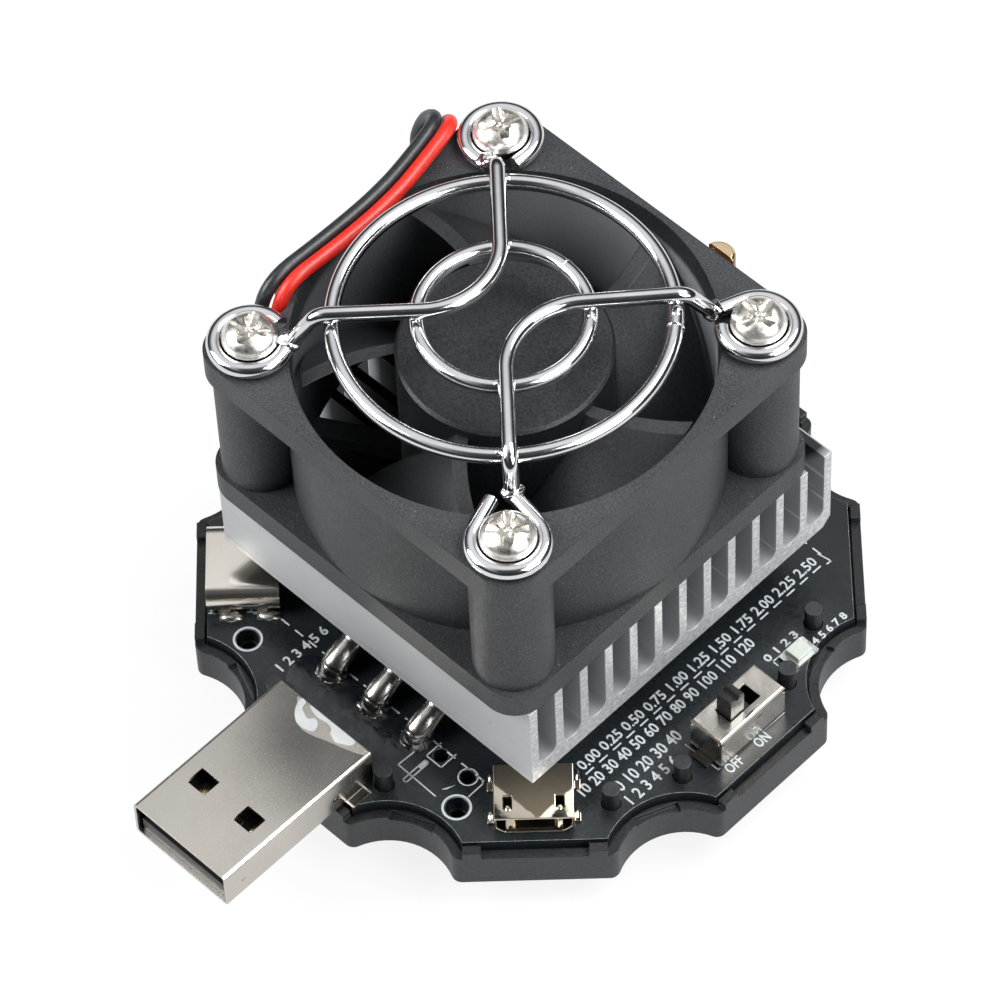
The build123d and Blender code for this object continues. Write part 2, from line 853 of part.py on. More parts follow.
def motor_carrier():
    """Motor base on its struts, with the bearing tube."""
    base = rod(motor_base_radius, motor_base_t, 0, fan_offset, fan_foot)
    strut_length = duct_radius + duct_wall / 2 - motor_base_radius / 2
    strut_middle = motor_base_radius / 2 + strut_length / 2
    for index in range(strut_count):
        strut = block(strut_length, strut_width, strut_t, strut_middle, 0, fan_foot)
        turn = 360 / strut_count * index + strut_turn
        base += Pos(0, fan_offset, 0) * Rot(0, 0, turn) * strut
    base += rod(tube_radius, tube_height, 0, fan_offset, fan_foot)
    bore = tube_radius - tube_wall
    base -= rod(bore, tube_height, 0, fan_offset, fan_foot + motor_base_t)
    return base


def bearing_bush():
    """Sleeve bearing in the tube."""
    return pipe(tube_radius - tube_wall - touch_gap, shaft_radius + bearing_gap,
                tube_height - motor_base_t, 0, fan_offset, fan_foot + motor_base_t)


def fan_circuit_board():
    """Ring board that feeds the windings."""
    outer = hub_radius - hub_wall - magnet_t - stator_gap
    return pipe(outer, tube_radius + touch_gap, fan_board_t, 0, fan_offset,
                fan_foot + motor_base_t)


def fan_stator():
    """Wound core with four poles, on the bearing tube."""
    outer = hub_radius - hub_wall - magnet_t - stator_gap
    low = fan_foot + motor_base_t + fan_board_t
    core = pipe(outer, tube_radius + touch_gap, stator_height, 0, fan_offset, low)
    slot_depth = (outer - tube_radius) / 2 + pole_gap
    for index in range(winding_poles):
        gap = block(slot_depth, pole_gap, stator_height, outer - slot_depth / 2 + pole_gap, 0, low)
        core -= Pos(0, fan_offset, 0) * Rot(0, 0, 360 / winding_poles * index) * gap
    return core


def fan_blade():
    """One wide helical blade, swept up its helix and trimmed to the hub and the duct."""
    tip = duct_radius - tip_gap
    root = hub_radius - hub_wall / 2
    rise = blade_high - blade_low
    slope = rise / blade_span
    rake = slope * blade_sweep
    spare = rake + blade_root_t
    path = Helix(slope * 360, rise + 2 * spare, tip, center=(0, 0, blade_low - spare))
    inner = root - hub_wall / 2
    outer = tip + tip_gap
    section = Polyline((inner, rake + blade_root_t / 2), (inner, rake - blade_root_t / 2),
                       (outer, -blade_tip_t / 2), (outer, blade_tip_t / 2), close=True)
    plane = Plane(origin=(0, 0, (path @ 0).Z), x_dir=(1, 0, 0), z_dir=(0, -1, 0))
    blade = sweep(plane * make_face(section), path=path, is_frenet=True)
    keep = pipe(tip, root, rise, 0, 0, blade_low)
    turn = (rise + spare) / slope
    return Pos(0, 0, fan_foot) * Rot(0, 0, -turn) * (blade & keep)


def fan_rotor():
    """Hub cup with its blades and the boss for the shaft."""
    top = fan_top - rotor_drop
    low = fan_foot + hub_lift
    hub = rod(hub_radius, top - low, 0, 0, low)
    hub = chamfer(hub.edges().group_by(Axis.Z)[-1], hub_edge)
    hub -= rod(hub_radius - hub_wall, top - hub_face_t - low, 0, 0, low)
    blade = fan_blade()
    for index in range(blade_count):
        hub += Rot(0, 0, blade_place + 360 / blade_count * index) * blade
    boss_low = fan_foot + tube_height + stator_gap
    hub += rod(tube_radius - tube_wall, top - boss_low, 0, 0, boss_low)
    hub -= rod(shaft_radius, top - boss_low - hub_face_t, 0, 0, boss_low)
    return Pos(0, fan_offset, 0) * hub


def rotor_magnet():
    """Ring magnet inside the hub."""
    outer = hub_radius - hub_wall
    return pipe(outer, outer - magnet_t, magnet_height, 0, fan_offset, fan_foot + hub_lift)


def rotor_shaft():
    """Shaft from the hub into the bearing."""
    low = fan_foot + motor_base_t + touch_gap
    return rod(shaft_radius, fan_top - rotor_drop - hub_face_t - low, 0, fan_offset, low)


def guard_loop(x, y):
    """Open pear-shaped loop round a screw; returns its wire and the end that takes the arm."""
    inward = math.degrees(math.atan2(-y, -x))
    first = math.degrees(math.acos(loop_radius / loop_neck)) + loop_neck_angle
    last = math.degrees(math.acos(loop_radius / loop_end)) + loop_end_angle
    centre = Pos(x, y, wire_radius)
    end = (centre * Rot(0, 0, inward - loop_neck_angle) * Pos(loop_neck, 0)).position
    free = (centre * Rot(0, 0, inward + loop_end_angle) * Pos(loop_end, 0)).position
    arc = CenterArc((x, y, wire_radius), loop_radius, inward - first, first + last - 360)
    path = Line(end, arc @ 0) + arc + Line(arc @ 1, free)
    section = Plane(origin=end, z_dir=(arc @ 0) - end) * Circle(wire_radius)
    return sweep(section, path=path) + Pos(end) * Sphere(weld_radius), end


def guard_arm(first, second):
    """Arm from one loop towards the centre and back out to the next, and both loops."""
    points = []
    wires = []
    for x, y in (first, second):
        loop, end = guard_loop(x, y)
        wires.append(loop)
        share = 1 - arm_kink / math.hypot(x, y)
        points.append([end, (x * share, y * share, arm_rise)])
    route = points[0] + [(0, 0, arm_rise)] + points[1][::-1]
    bends = [kink_bend, arm_bend, kink_bend]
    path = FilletPolyline(*route, radius=bends)
    section = Plane(origin=path @ 0, z_dir=path % 0) * Circle(wire_radius)
    return wires + [sweep(section, path=path)]


def finger_guard():
    """Two rings welded under two bent arms, with a loop at each screw."""
    corner = fan_corner
    pieces = guard_arm((-corner, corner), (-corner, -corner))
    pieces += guard_arm((corner, -corner), (corner, corner))
    for radius in (outer_ring_radius, inner_ring_radius):
        pieces.append(Pos(0, 0, ring_rise) * Torus(radius, wire_radius))
    guard = pieces[0]
    for piece in pieces[1:]:
        guard += piece
    return Pos(0, fan_offset, fan_top + touch_gap) * guard


def fan_screws():
    """Four self-tapping screws with domed heads, through the frame into the fins."""
    seat = fan_top + head_seat + 2 * touch_gap
    screws = []
    for x, y in screw_places():
        head = rod(head_radius, head_height, x, y, seat)
        head = fillet(head.edges().group_by(Axis.Z)[-1], head_dome)
        low = fan_foot - shank_into_fins
        shank = rod(shank_radius, seat - low, x, y, low)
        recess = rod(recess_radius, recess_depth, x, y, seat + head_height - recess_depth)
        screws.append(head + shank - recess)
    return Compound(screws)


def lead(points):
    """Insulated lead along its route; returns the tube and the bend radii."""
    runs = [(Vector(b) - Vector(a)).length for a, b in zip(points, points[1:])]
    bends = []
    for index in range(1, len(points) - 1):
        into = Vector(points[index]) - Vector(points[index - 1])
        out = Vector(points[index + 1]) - Vector(points[index])
        half = math.radians(into.get_angle(out) / 2)
        bends.append(bend_share * min(runs[index - 1], runs[index]) / math.tan(half))
    path = FilletPolyline(*points, radius=bends)
    section = Plane(origin=path @ 0, z_dir=path % 0) * Circle(lead_radius)
    return sweep(section, path=path), path.length, bends


def chip(size, place, low):
    """A small rectangular package."""
    return block(size[0], size[1], size[2], place[0], place[1], low)


def build():
    """Every node by name."""
    nodes = {
        "base_housing": base_housing(),
        "display_window": display_window(),
        "display_module": display_module(),
        "display_foam": display_foam(),
        "main_board": main_board(),
        "mode_tact_switch": mode_tact_switch(),
        "mode_button": mode_button(),
        "controller_chip": chip(controller_size, controller_place,
                                board_under - controller_size[2]),
        "sense_resistor": chip(sense_size, sense_place, board_top),
        "amplifier_chip": chip(amplifier_size, amplifier_place, board_top),
        "usb_a_shell": usb_a_shell(),
        "usb_a_insert": usb_a_insert(),
        "usb_a_contacts": usb_a_contacts(),
        "micro_usb_shell": micro_usb_shell(),
        "micro_usb_insert": micro_usb_insert(),
        "usb_c_shell": usb_c_shell(),
        "usb_c_insert": usb_c_insert(),
        "load_switch_case": load_switch_case(),
        "load_switch_base": load_switch_base(),
        "load_switch_knob": load_switch_knob(),
        "load_led": load_led(),
        "power_transistor": power_transistor(),
        "transistor_legs": transistor_legs(),
        "thermal_pad": thermal_pad(),
        "heatsink": heatsink(),
        "adjuster_body": adjuster_body(),
        "adjuster_bushing": adjuster_bushing(),
        "adjuster_shaft": adjuster_shaft(),
        "fan_header": fan_header(),
        "fan_plug": fan_plug(),
        "fan_frame": fan_frame(),
        "bearing_bush": bearing_bush(),
        "fan_circuit_board": fan_circuit_board(),
        "fan_stator": fan_stator(),
        "fan_rotor": fan_rotor(),
        "rotor_magnet": rotor_magnet(),
        "rotor_shaft": rotor_shaft(),
        "finger_guard": finger_guard(),
        "fan_screws": fan_screws(),
    }
    for name, route in (("fan_lead_black", black_route), ("fan_lead_red", red_route)):
        tube, length, bends = lead(route)
        nodes[name] = tube
        expected = math.pi * lead_radius ** 2 * length
        print(name, "length", round(length, 1), "volume share", round(tube.volume / expected, 3),
              "radii", [round(bend, 1) for bend in bends])
    return nodes


os.makedirs("parts", exist_ok=True)
for node, shape in build().items():
    export_step(shape, os.path.join("parts", node + ".step"))
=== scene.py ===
"""Looks of the load module: photograph's camera, leads, materials and fine pieces over the
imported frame. Metres, +Z up, the frame's own axes."""

import json
import math

import bmesh
import bpy
from mathutils import Matrix, Vector, noise as field


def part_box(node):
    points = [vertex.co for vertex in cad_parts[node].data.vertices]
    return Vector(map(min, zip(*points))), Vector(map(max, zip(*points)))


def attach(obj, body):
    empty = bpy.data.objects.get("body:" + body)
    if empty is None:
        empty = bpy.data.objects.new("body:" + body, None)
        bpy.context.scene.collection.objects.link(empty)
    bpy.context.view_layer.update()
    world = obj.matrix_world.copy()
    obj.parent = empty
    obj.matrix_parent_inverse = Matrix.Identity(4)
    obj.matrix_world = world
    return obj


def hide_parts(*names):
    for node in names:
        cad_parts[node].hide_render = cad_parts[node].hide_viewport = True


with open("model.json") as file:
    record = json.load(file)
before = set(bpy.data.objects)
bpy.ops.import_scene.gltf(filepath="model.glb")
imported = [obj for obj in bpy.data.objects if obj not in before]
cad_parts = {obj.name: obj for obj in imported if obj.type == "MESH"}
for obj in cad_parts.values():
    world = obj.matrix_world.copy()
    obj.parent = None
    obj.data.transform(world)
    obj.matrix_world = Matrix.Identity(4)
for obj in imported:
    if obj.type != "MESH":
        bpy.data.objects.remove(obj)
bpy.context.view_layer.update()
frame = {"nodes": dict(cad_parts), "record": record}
nodes = frame["nodes"]
scene = bpy.context.scene
scene.view_settings.view_transform = "Standard"
MM = 0.001


def new_object(name, data):
    """An object in the scene."""
    made = bpy.data.objects.new(name, data)
    scene.collection.objects.link(made)
    return made


# Camera: fitted to the photograph, 1001 by 1001
CAMERA_PLACE = (231.889, -222.945, 465.673)
CAMERA_RIGHT = (0.716857, 0.696583, -0.029803)
CAMERA_UP = (-0.552935, 0.594027, 0.584289)
CAMERA_BACK = (0.42471, -0.402373, 0.810998)
CAMERA_LENS = 213.211

camera = new_object("camera", bpy.data.cameras.new("camera"))
camera.data.lens = CAMERA_LENS
camera.data.sensor_width = 36.0
camera.data.clip_start = 0.01
camera.data.clip_end = 10.0
turn = Matrix((CAMERA_RIGHT, CAMERA_UP, CAMERA_BACK)).transposed()
camera.matrix_world = Matrix.Translation(Vector(CAMERA_PLACE) * MM) @ turn.to_4x4()
scene.camera = camera


# Leads: the routes of the source, millimetres
LEAD_RADIUS = 0.68
BLACK_ROUTE = (
    (-19.3, -13.9, 28.98), (-19.05, -13.7, 33.2), (-19.2, -13.75, 38.2),
    (-19.25, -13.5, 47.5), (-19.35, -4.6, 46.8), (-19.5, 2.4, 46.85),
    (-20.5, 7.8, 46.9), (-21.5, 11.9, 47.2), (-24.4, 12.6, 44.2),
    (-24.8, 11.4, 40.2), (-24.9, 14.6, 34.2), (-23.6, 20.6, 28.6),
    (-17.6, 22.6, 24.6), (-9.2, 21.9, 22.8), (-2.2, 21.4, 23.4),
    (4.6, 21.9, 24.6), (7.7, 23.0, 22.2), (7.75, 23.1, 16.55),
)
RED_ROUTE = (
    (-17.8, -13.05, 28.98), (-17.65, -12.75, 33.4), (-17.75, -12.95, 38.4),
    (-17.8, -12.75, 47.6), (-17.85, -4.4, 46.85), (-18.0, 2.6, 46.95),
    (-19.1, 8.2, 47.1), (-20.1, 12.3, 47.1), (-22.5, 13.5, 44.4),
    (-22.8, 12.4, 40.2), (-23.0, 15.2, 34.8), (-22.1, 20.3, 29.9),
    (-16.9, 22.3, 26.3), (-9.0, 21.8, 24.4), (-1.8, 21.4, 25.0),
    (6.2, 21.9, 26.4), (9.5, 23.0, 23.3), (9.55, 23.1, 16.55),
)


def round_wire(name, kind, runs, radius, sides):
    """A curve of round section along runs of points in millimetres."""
    curve = bpy.data.curves.new(name, "CURVE")
    curve.dimensions = "3D"
    for run in runs:
        spline = curve.splines.new(kind)
        spline.points.add(len(run) - 1)
        for point, place in zip(spline.points, run):
            point.co = (*[value * MM for value in place], 1.0)
            point.radius = MM
    curve.bevel_depth = radius
    curve.bevel_resolution = sides
    curve.use_fill_caps = True
    return curve


def lead(colour, points):
    """One fan lead, a round curve along its route that rides on the base in place of the node's
    lead.
    """
    curve = round_wire("wire_" + colour, "NURBS", [points], LEAD_RADIUS, 5)
    spline = curve.splines[0]
    spline.order_u = 3
    spline.use_endpoint_u = True
    spline.resolution_u = 8
    tube = new_object("wire_" + colour, curve)
    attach(tube, "base")
    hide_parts("fan_lead_" + colour)
    return tube


wire_black = lead("black", BLACK_ROUTE)
wire_red = lead("red", RED_ROUTE)


# Node graphs
class Graph:
    """The nodes of a material or a world, with short names for the kinds used here."""

    def __init__(self, owner):
        owner.use_nodes = True
        self.made = owner
        self.tree = owner.node_tree

    def put(self, slot, value):
        """A socket or a constant into an input."""
        if isinstance(value, bpy.types.NodeSocket):
            self.tree.links.new(value, slot)
        else:
            slot.default_value = value

    def add(self, kind, numbered=(), **values):
        """A shader node with its properties, named p_, and its inputs set."""
        made = self.tree.nodes.new("ShaderNode" + kind)
        for key, value in values.items():
            if key.startswith("p_"):
                setattr(made, key[2:], value)
            else:
                self.put(made.inputs[key.replace("_", " ")], value)
        for index, value in numbered:
            self.put(made.inputs[index], value)
        return made

    def shade(self, **values):
        """The shader's inputs, set by name."""
        for key, value in values.items():
            self.put(self.shader.inputs[key.replace("_", " ")], value)

    def sums(self, operation, first, second=0):
        """Arithmetic on values, each a socket or a number."""
        inputs = ((0, first), (1, second))
        return self.add("Math", inputs, p_operation=operation).outputs[0]

    def times(self, first, second):
        """The product of two values."""
        return self.sums("MULTIPLY", first, second)

    def larger(self, first, second):
        """The larger of two values."""
        return self.sums("MAXIMUM", first, second)

    def unsigned(self, value):
        """A value without its sign."""
        return self.sums("ABSOLUTE", value)

    def dot(self, first, second):
        """The dot product of two vectors."""
        inputs = ((0, first), (1, second))
        return self.add("VectorMath", inputs, p_operation="DOT_PRODUCT").outputs["Value"]

    def axes(self, vector):
        """The X, Y and Z of a vector."""
        return self.add("SeparateXYZ", Vector=vector).outputs

    @property
    def spot(self):
        """The X, Y and Z of the object coordinates."""
        return self.axes(self.place)

    @property
    def normal(self):
        """The X, Y and Z of the face's own normal."""
        return self.axes(self.add("NewGeometry").outputs["Normal"])

    def mapped(self, **values):
        """Object coordinates moved, turned or scaled, for grain with a direction."""
        return self.add("Mapping", Vector=self.place, **values).outputs["Vector"]

    def noise(self, scale, detail=3.0, rough=0.55, vector=None):
        """Noise factor at a scale per metre."""
        return self.add("TexNoise", Vector=vector or self.place, Scale=scale, Detail=detail,
                        Roughness=rough).outputs["Fac"]

    def ramp(self, factor, *stops):
        """Colour ramp from (position, colour) stops."""
        made = self.add("ValToRGB", Fac=factor)
        element = made.color_ramp.elements
        element[0].position, element[0].color = stops[0][0], (*stops[0][1], 1)
        element[1].position, element[1].color = stops[-1][0], (*stops[-1][1], 1)
        for position, colour in stops[1:-1]:
            element.new(position).color = (*colour, 1)
        return made.outputs["Color"]

    def spread(self, factor, low, high, start=0.3, end=0.7):
        """The factor mapped to a range."""
        return self.add("MapRange", Value=factor, From_Min=start, From_Max=end,
                        To_Min=low, To_Max=high).outputs["Result"]

    def tinted(self, factor, first, second):
        """Two colours mixed by a factor."""
        first, second = [(*value, 1) if isinstance(value, tuple) else value
                         for value in (first, second)]
        inputs = ((0, factor), (6, first), (7, second))
        return self.add("Mix", inputs, p_data_type="RGBA").outputs[2]

    def blended(self, factor, first, second):
        """Two numbers mixed by a factor."""
        inputs = ((0, factor), (2, first), (3, second))
        return self.add("Mix", inputs, p_data_type="FLOAT").outputs[0]

    def within(self, value, low, high, soft=0.03):
        """One where a length lies between two millimetre values."""
        above = self.spread(value, 0.0, 1.0, (low - soft) * MM, (low + soft) * MM)
        below = self.spread(value, 1.0, 0.0, (high - soft) * MM, (high + soft) * MM)
        return self.times(above, below)

    def overlay(self, mask, colour):
        """A tint over the colour so far, where the mask says."""
        slot = self.shader.inputs["Base Color"]
        self.put(slot, self.tinted(mask, slot.links[0].from_socket, colour))
        return self

    def bump(self, height, strength, distance, edge=0.0):
        """Bump into the shader's normal, over edges rounded by the given millimetres."""
        made = self.add("Bump", Height=height, Strength=strength, Distance=distance * MM)
        if edge:
            rounded = self.add("Bevel", Radius=edge * MM, p_samples=6)
            self.put(made.inputs["Normal"], rounded.outputs["Normal"])
        self.shade(Normal=made.outputs["Normal"])

    def edge_line(self, radius):
        """One near an edge, fading along it."""
        rounded = self.add("Bevel", Radius=radius * MM, p_samples=5)
        face = self.add("NewGeometry").outputs["True Normal"]
        near = self.spread(self.dot(rounded.outputs["Normal"], face), 1.0, 0.0, 0.86, 0.985)
        return self.times(near, self.spread(self.noise(260, 3), 0.15, 1.0))

    def from_axis(self):
        """The squared distance from the fan's axis."""
        x, across = self.spot["X"], self.sums("SUBTRACT", self.spot["Y"], FAN_CENTRE[1] * MM)
        return self.sums("ADD", self.times(x, x), self.times(across, across))

    def surface(self, factor, first, second, out):
        """Two shaders mixed by a factor, as what an output shows."""
        inputs = ((0, factor), (1, first.outputs[0]), (2, second.outputs[0]))
        self.add(out, Surface=self.add("MixShader", inputs).outputs[0])


def material(name):
    """Graph of a new material, with its shader and its object coordinates."""
    g = Graph(bpy.data.materials.new(name))
    g.shader = g.tree.nodes["Principled BSDF"]
    g.place = g.add("TexCoord").outputs["Object"]
    return g


# Materials
def plastic(name, dark, light, rough, grain=0.25, depth=0.012, patch=6.0, coat=0.0, strength=0.6,
            edge=0.0, dust=0.0, spark=0.0):
    """Moulded plastic: fine spark texture, faint cloudiness, uneven gloss, a little dust."""
    g = material(name)
    fine = g.noise(1000 / grain, 2, 0.6)
    mottle = g.sums("ADD", g.times(g.noise(1000 / patch, 4), 0.45), g.times(fine, 0.55))
    colour = g.ramp(mottle, (0.38, dark), (0.62, light))
    if dust:
        specks = g.spread(g.noise(4200, 1, 0.5), 0.0, dust, 0.72, 0.78)
        colour = g.tinted(specks, colour, (0.5, 0.5, 0.5))
    if spark:
        sparkle = g.noise(860 / grain, 2, 0.75)
        g.shade(Specular_IOR_Level=g.spread(sparkle, 0.5 - spark, 0.5 + spark, 0.36, 0.64))
    g.shade(Base_Color=colour, Roughness=g.spread(fine, rough - 0.06, rough + 0.08),
            Coat_Weight=coat, Coat_Roughness=0.12)
    g.bump(fine, strength, depth, edge)
    return g


def metal(name, dark, light, rough, grain=0.3, depth=0.004, patch=5.0, strength=0.5, swing=0.08,
          stretch=(1, 1, 1)):
    """Bare or plated metal: grain with a direction, patchy tone, uneven polish."""
    g = material(name)
    fine = g.noise(1000 / grain, 3, 0.6, g.mapped(Scale=stretch))
    g.shade(Base_Color=g.ramp(g.noise(1000 / patch, 4), (0.3, dark), (0.7, light)),
            Roughness=g.spread(fine, max(rough - swing, 0.02), rough + swing), Metallic=1.0)
    g.bump(fine, strength, depth)
    return g


def soft_resin(name, colour, rough, through=0.0, ripple_depth=0.03):
    """Translucent resin or glue with small ripples."""
    g = material(name)
    ripple = g.noise(900, 3)
    light = [min(value * 1.12, 1) for value in colour]
    g.shade(Base_Color=g.ramp(ripple, (0.3, colour), (0.7, light)),
            Roughness=g.spread(ripple, rough, rough + 0.15), Transmission_Weight=through,
            Subsurface_Weight=0.3, Subsurface_Radius=(0.001, 0.0008, 0.0006))
    g.bump(ripple, 0.4, ripple_depth)
    return g


FAN_CENTRE = (0.0, -1.75)
SHAFT_Y = 26.2
SCRIBE_HEIGHT = 15.75
SINK_INSIDE = 19.86


def heatsink_metal():
    """Extruded aluminium: drawn faces with a scribed line, sawn ends, painted shade over the fins
    and deep in the slots.
    """
    g = material("sink_aluminium")
    x, y, z = g.spot
    sawn = g.spread(g.unsigned(g.normal["X"]), 0.0, 1.0, 0.75, 0.9)
    front = g.spread(g.times(g.normal["Y"], -1), 0.0, 1.0, 0.75, 0.9)
    drawn = g.noise(2600, 3, 0.6, g.mapped(Scale=(0.05, 1, 1)))
    score = g.noise(3800, 4, 0.7, g.mapped(Scale=(1, 0.45, 1)))
    pits = g.spread(g.noise(1100, 2, 0.5), 0.0, 1.0, 0.71, 0.75)
    away = g.unsigned(g.sums("SUBTRACT", z, SCRIBE_HEIGHT * MM))
    line = g.times(g.spread(away, 1.0, 0.0, 0.03 * MM, 0.07 * MM), front)
    face = g.ramp(g.noise(160, 4), (0.25, (0.42, 0.435, 0.445)), (0.75, (0.48, 0.49, 0.5)))
    marks = g.larger(g.times(line, 0.35), g.times(pits, 0.5))
    face = g.tinted(marks, face, (0.1, 0.1, 0.11))
    end = g.ramp(score, (0.3, (0.3, 0.315, 0.33)), (0.5, (0.46, 0.475, 0.49)),
                 (0.7, (0.76, 0.76, 0.76)))
    # Painted shade: everything inside the outer faces, under the fan, is darker
    shaded_inside = g.times(g.within(x, -SINK_INSIDE, SINK_INSIDE),
                     g.within(y, -SINK_INSIDE, SINK_INSIDE))
    face = g.tinted(g.times(shaded_inside, 0.72), face, (0.36, 0.375, 0.39))
    # Painted shade: the slots darken towards their bottoms, less so near the sawn end
    inward = g.sums("SUBTRACT", 20.1 * MM, x)
    slot_shade = g.spread(g.sums("ADD", z, g.times(inward, 1.3)), 0.0, 0.97, 26.1 * MM, 27.6 * MM)
    slot_shade = g.times(g.times(slot_shade, shaded_inside), g.spread(x, 0.2, 1.0, -19.7 * MM, -18.2 * MM))
    slope = g.mapped(Rotation=(0.0, 0.62, 0.0), Scale=(0.035, 1.0, 1.0))
    scratch = g.spread(g.noise(700, 1, 0.4, slope), 0.0, 0.6, 0.7, 0.73)
    face = g.tinted(g.times(scratch, front), face, (0.96, 0.96, 0.96))
    g.shade(Base_Color=g.tinted(slot_shade, g.tinted(sawn, face, end), (0.012, 0.013, 0.014)),
            Roughness=g.blended(sawn, g.spread(drawn, 0.5, 0.62), g.spread(score, 0.55, 0.28)),
            Metallic=0.6)
    g.bump(g.blended(sawn, drawn, score), 0.55, 0.02)
    return g


def board_lacquer():
    """Black board: glossy lacquer over copper pours, pale on its rounded edge, partly worn and
    partly a painted highlight.
    """
    g = material("board_lacquer")
    level = g.unsigned(g.normal["Z"])
    # Pale rounded edge: the worn cut edge with a painted highlight along it
    worn_edge_and_glint = g.times(g.spread(level, 1.0, 0.0, 0.85, 0.97), g.spread(level, 0.0, 1.0, 0.1, 0.35))
    fine = g.noise(1500, 3)
    top = g.ramp(g.noise(90, 2), (0.42, (0.0085, 0.0115, 0.0135)),
                 (0.58, (0.012, 0.016, 0.0185)))
    edge = g.ramp(fine, (0.3, (0.2, 0.22, 0.22)), (0.7, (0.46, 0.49, 0.49)))
    g.shade(Base_Color=g.tinted(worn_edge_and_glint, top, edge), Roughness=g.spread(fine, 0.24, 0.34),
            Specular_IOR_Level=0.42)
    g.bump(fine, 0.2, 0.003)
    return g


def shaft_brass():
    """Adjuster shaft: turned pale top, with rings about its axis, and sides painted dark brown as
    shade and reflection.
    """
    g = material("turned_brass")
    rings = g.add("TexWave", Vector=g.mapped(Location=(0, -SHAFT_Y * MM, 0)), Scale=900.0,
                  Distortion=1.5, Detail=2.0, p_wave_type="RINGS",
                  p_rings_direction="Z").outputs["Fac"]
    top = g.ramp(g.noise(400, 3), (0.3, (0.74, 0.54, 0.31)), (0.7, (0.88, 0.68, 0.44)))
    # Painted shade and reflection: the upright sides are dark brown
    sides = g.spread(g.normal["Z"], 0.85, 0.0, 0.3, 0.7)
    g.shade(Base_Color=g.tinted(sides, top, (0.2, 0.085, 0.04)),
            Roughness=g.spread(rings, 0.2, 0.34, 0, 1), Metallic=1.0)
    g.bump(rings, 0.2, 0.004)
    return g


def window_plastic():
    """Clear window with faint smears."""
    g = material("window_clear")
    smear = g.noise(120, 4)
    g.shade(Base_Color=g.ramp(smear, (0.3, (0.85, 0.88, 0.88)), (0.7, (0.935, 0.968, 0.968))),
            Roughness=g.spread(smear, 0.03, 0.12), Transmission_Weight=0.85, IOR=1.49)
    return g


def housing_plastic():
    """Housing: painted shade darkens its rim and the sides of its pegs against its flanks."""
    g = plastic("housing_plastic", (0.012, 0.0138, 0.016), (0.02, 0.0225, 0.026), 0.42, 0.22,
                0.014, edge=0.16, dust=0.08, spark=0.1)
    height, upward = g.spot["Z"], g.normal["Z"]
    # Painted shade on the rim's top and on the sides of the pegs
    rim_shade = g.times(g.within(height, 5.0, 8.6), g.spread(upward, 0.0, 1.0, 0.5, 0.8))
    peg_shade = g.times(g.within(height, 8.5, 20.0), g.spread(upward, 1.0, 0.0, 0.2, 0.6))
    return g.overlay(g.times(g.larger(rim_shade, peg_shade), 0.8), (0.002, 0.002, 0.0025))


def fan_plastic():
    """Fan frame: spark-eroded grain, darker edges, and painted light on the duct wall, paler on
    one side.
    """
    g = plastic("fan_plastic", (0.015, 0.0175, 0.0198), (0.028, 0.0312, 0.0345), 0.5, 0.17, 0.06,
                strength=0.8, dust=0.2, spark=0.22)
    # Painted light: the duct wall is lifted, more towards one side
    lit_duct_wall = g.times(g.spread(g.from_axis(), 1.0, 0.0, (18.95 * MM) ** 2, (19.05 * MM) ** 2),
                   g.spread(g.spot["Z"], 1.0, 0.0, 45.7 * MM, 45.85 * MM))
    side = g.spread(g.sums("ADD", g.spot["X"], g.spot["Y"]), 0.22, 1.0, -7.75 * MM, 18.25 * MM)
    g.overlay(g.times(lit_duct_wall, side), (0.26, 0.27, 0.285))
    return g.overlay(g.times(g.edge_line(0.22), 0.75), (0.003, 0.003, 0.0035))


def rotor_plastic():
    """Rotor: dark hub, blades painted a little paler as fill light inside the duct."""
    g = plastic("rotor_plastic", (0.0075, 0.008, 0.0095), (0.0125, 0.0135, 0.016), 0.42, 0.2,
                0.03, strength=0.7, edge=0.1, dust=0.16, spark=0.17)
    # Painted light: the blades are lifted as fill inside the dark duct
    blade_fill_light = g.spread(g.from_axis(), 0.0, 1.0, (9.95 * MM) ** 2, (10.4 * MM) ** 2)
    return g.overlay(blade_fill_light, (0.024, 0.0255, 0.028))


def plug_steel():
    """Plug shell: fine matt nickel, darker towards its rear by a painted reflection of the dark
    fan, dark flux on its tabs.
    """
    g = metal("plug_nickel", (0.6, 0.57, 0.52), (0.665, 0.635, 0.58), 0.25, 0.14, 0.002, 7.0,
              0.28, 0.03)
    # Painted reflection of the dark fan: darker towards the rear
    g.overlay(g.spread(g.spot["Y"], 0.0, 0.42, -38.0 * MM, -27.0 * MM), (0.3, 0.29, 0.27))
    # The tabs stand beside the shell, down to the board
    side = g.within(g.unsigned(g.spot["X"]), 6.03, 6.95, 0.04)
    along = g.within(g.spot["Y"], -30.2, -28.2, 0.05)
    low = g.spread(g.spot["Z"], 1.0, 0.0, 8.9 * MM, 9.1 * MM)
    return g.overlay(g.times(g.times(side, along), low), (0.03, 0.028, 0.026))


def micro_steel():
    """Micro socket shell: polished nickel over a slightly bowed sheet."""
    g = material("micro_nickel")
    cloud = g.noise(180, 4)
    g.shade(Base_Color=g.ramp(cloud, (0.3, (0.66, 0.58, 0.47)), (0.7, (0.76, 0.68, 0.56))),
            Roughness=g.spread(cloud, 0.06, 0.1), Metallic=1.0)
    bow = g.sums("ADD", g.times(g.spot["X"], -0.06), g.times(g.spot["Y"], 0.118))
    g.bump(g.sums("ADD", bow, g.times(cloud, 0.00006)), 1.0, 1000)
    return g


def switch_tin():
    """Folded switch case, dark with flux at the board."""
    g = metal("switch_tin", (0.64, 0.6, 0.54), (0.74, 0.7, 0.64), 0.25, 0.5, 0.002, 4.0, 0.25,
              0.03)
    return g.overlay(g.spread(g.spot["Z"], 0.85, 0.0, 8.85 * MM, 9.0 * MM), (0.06, 0.056, 0.05))


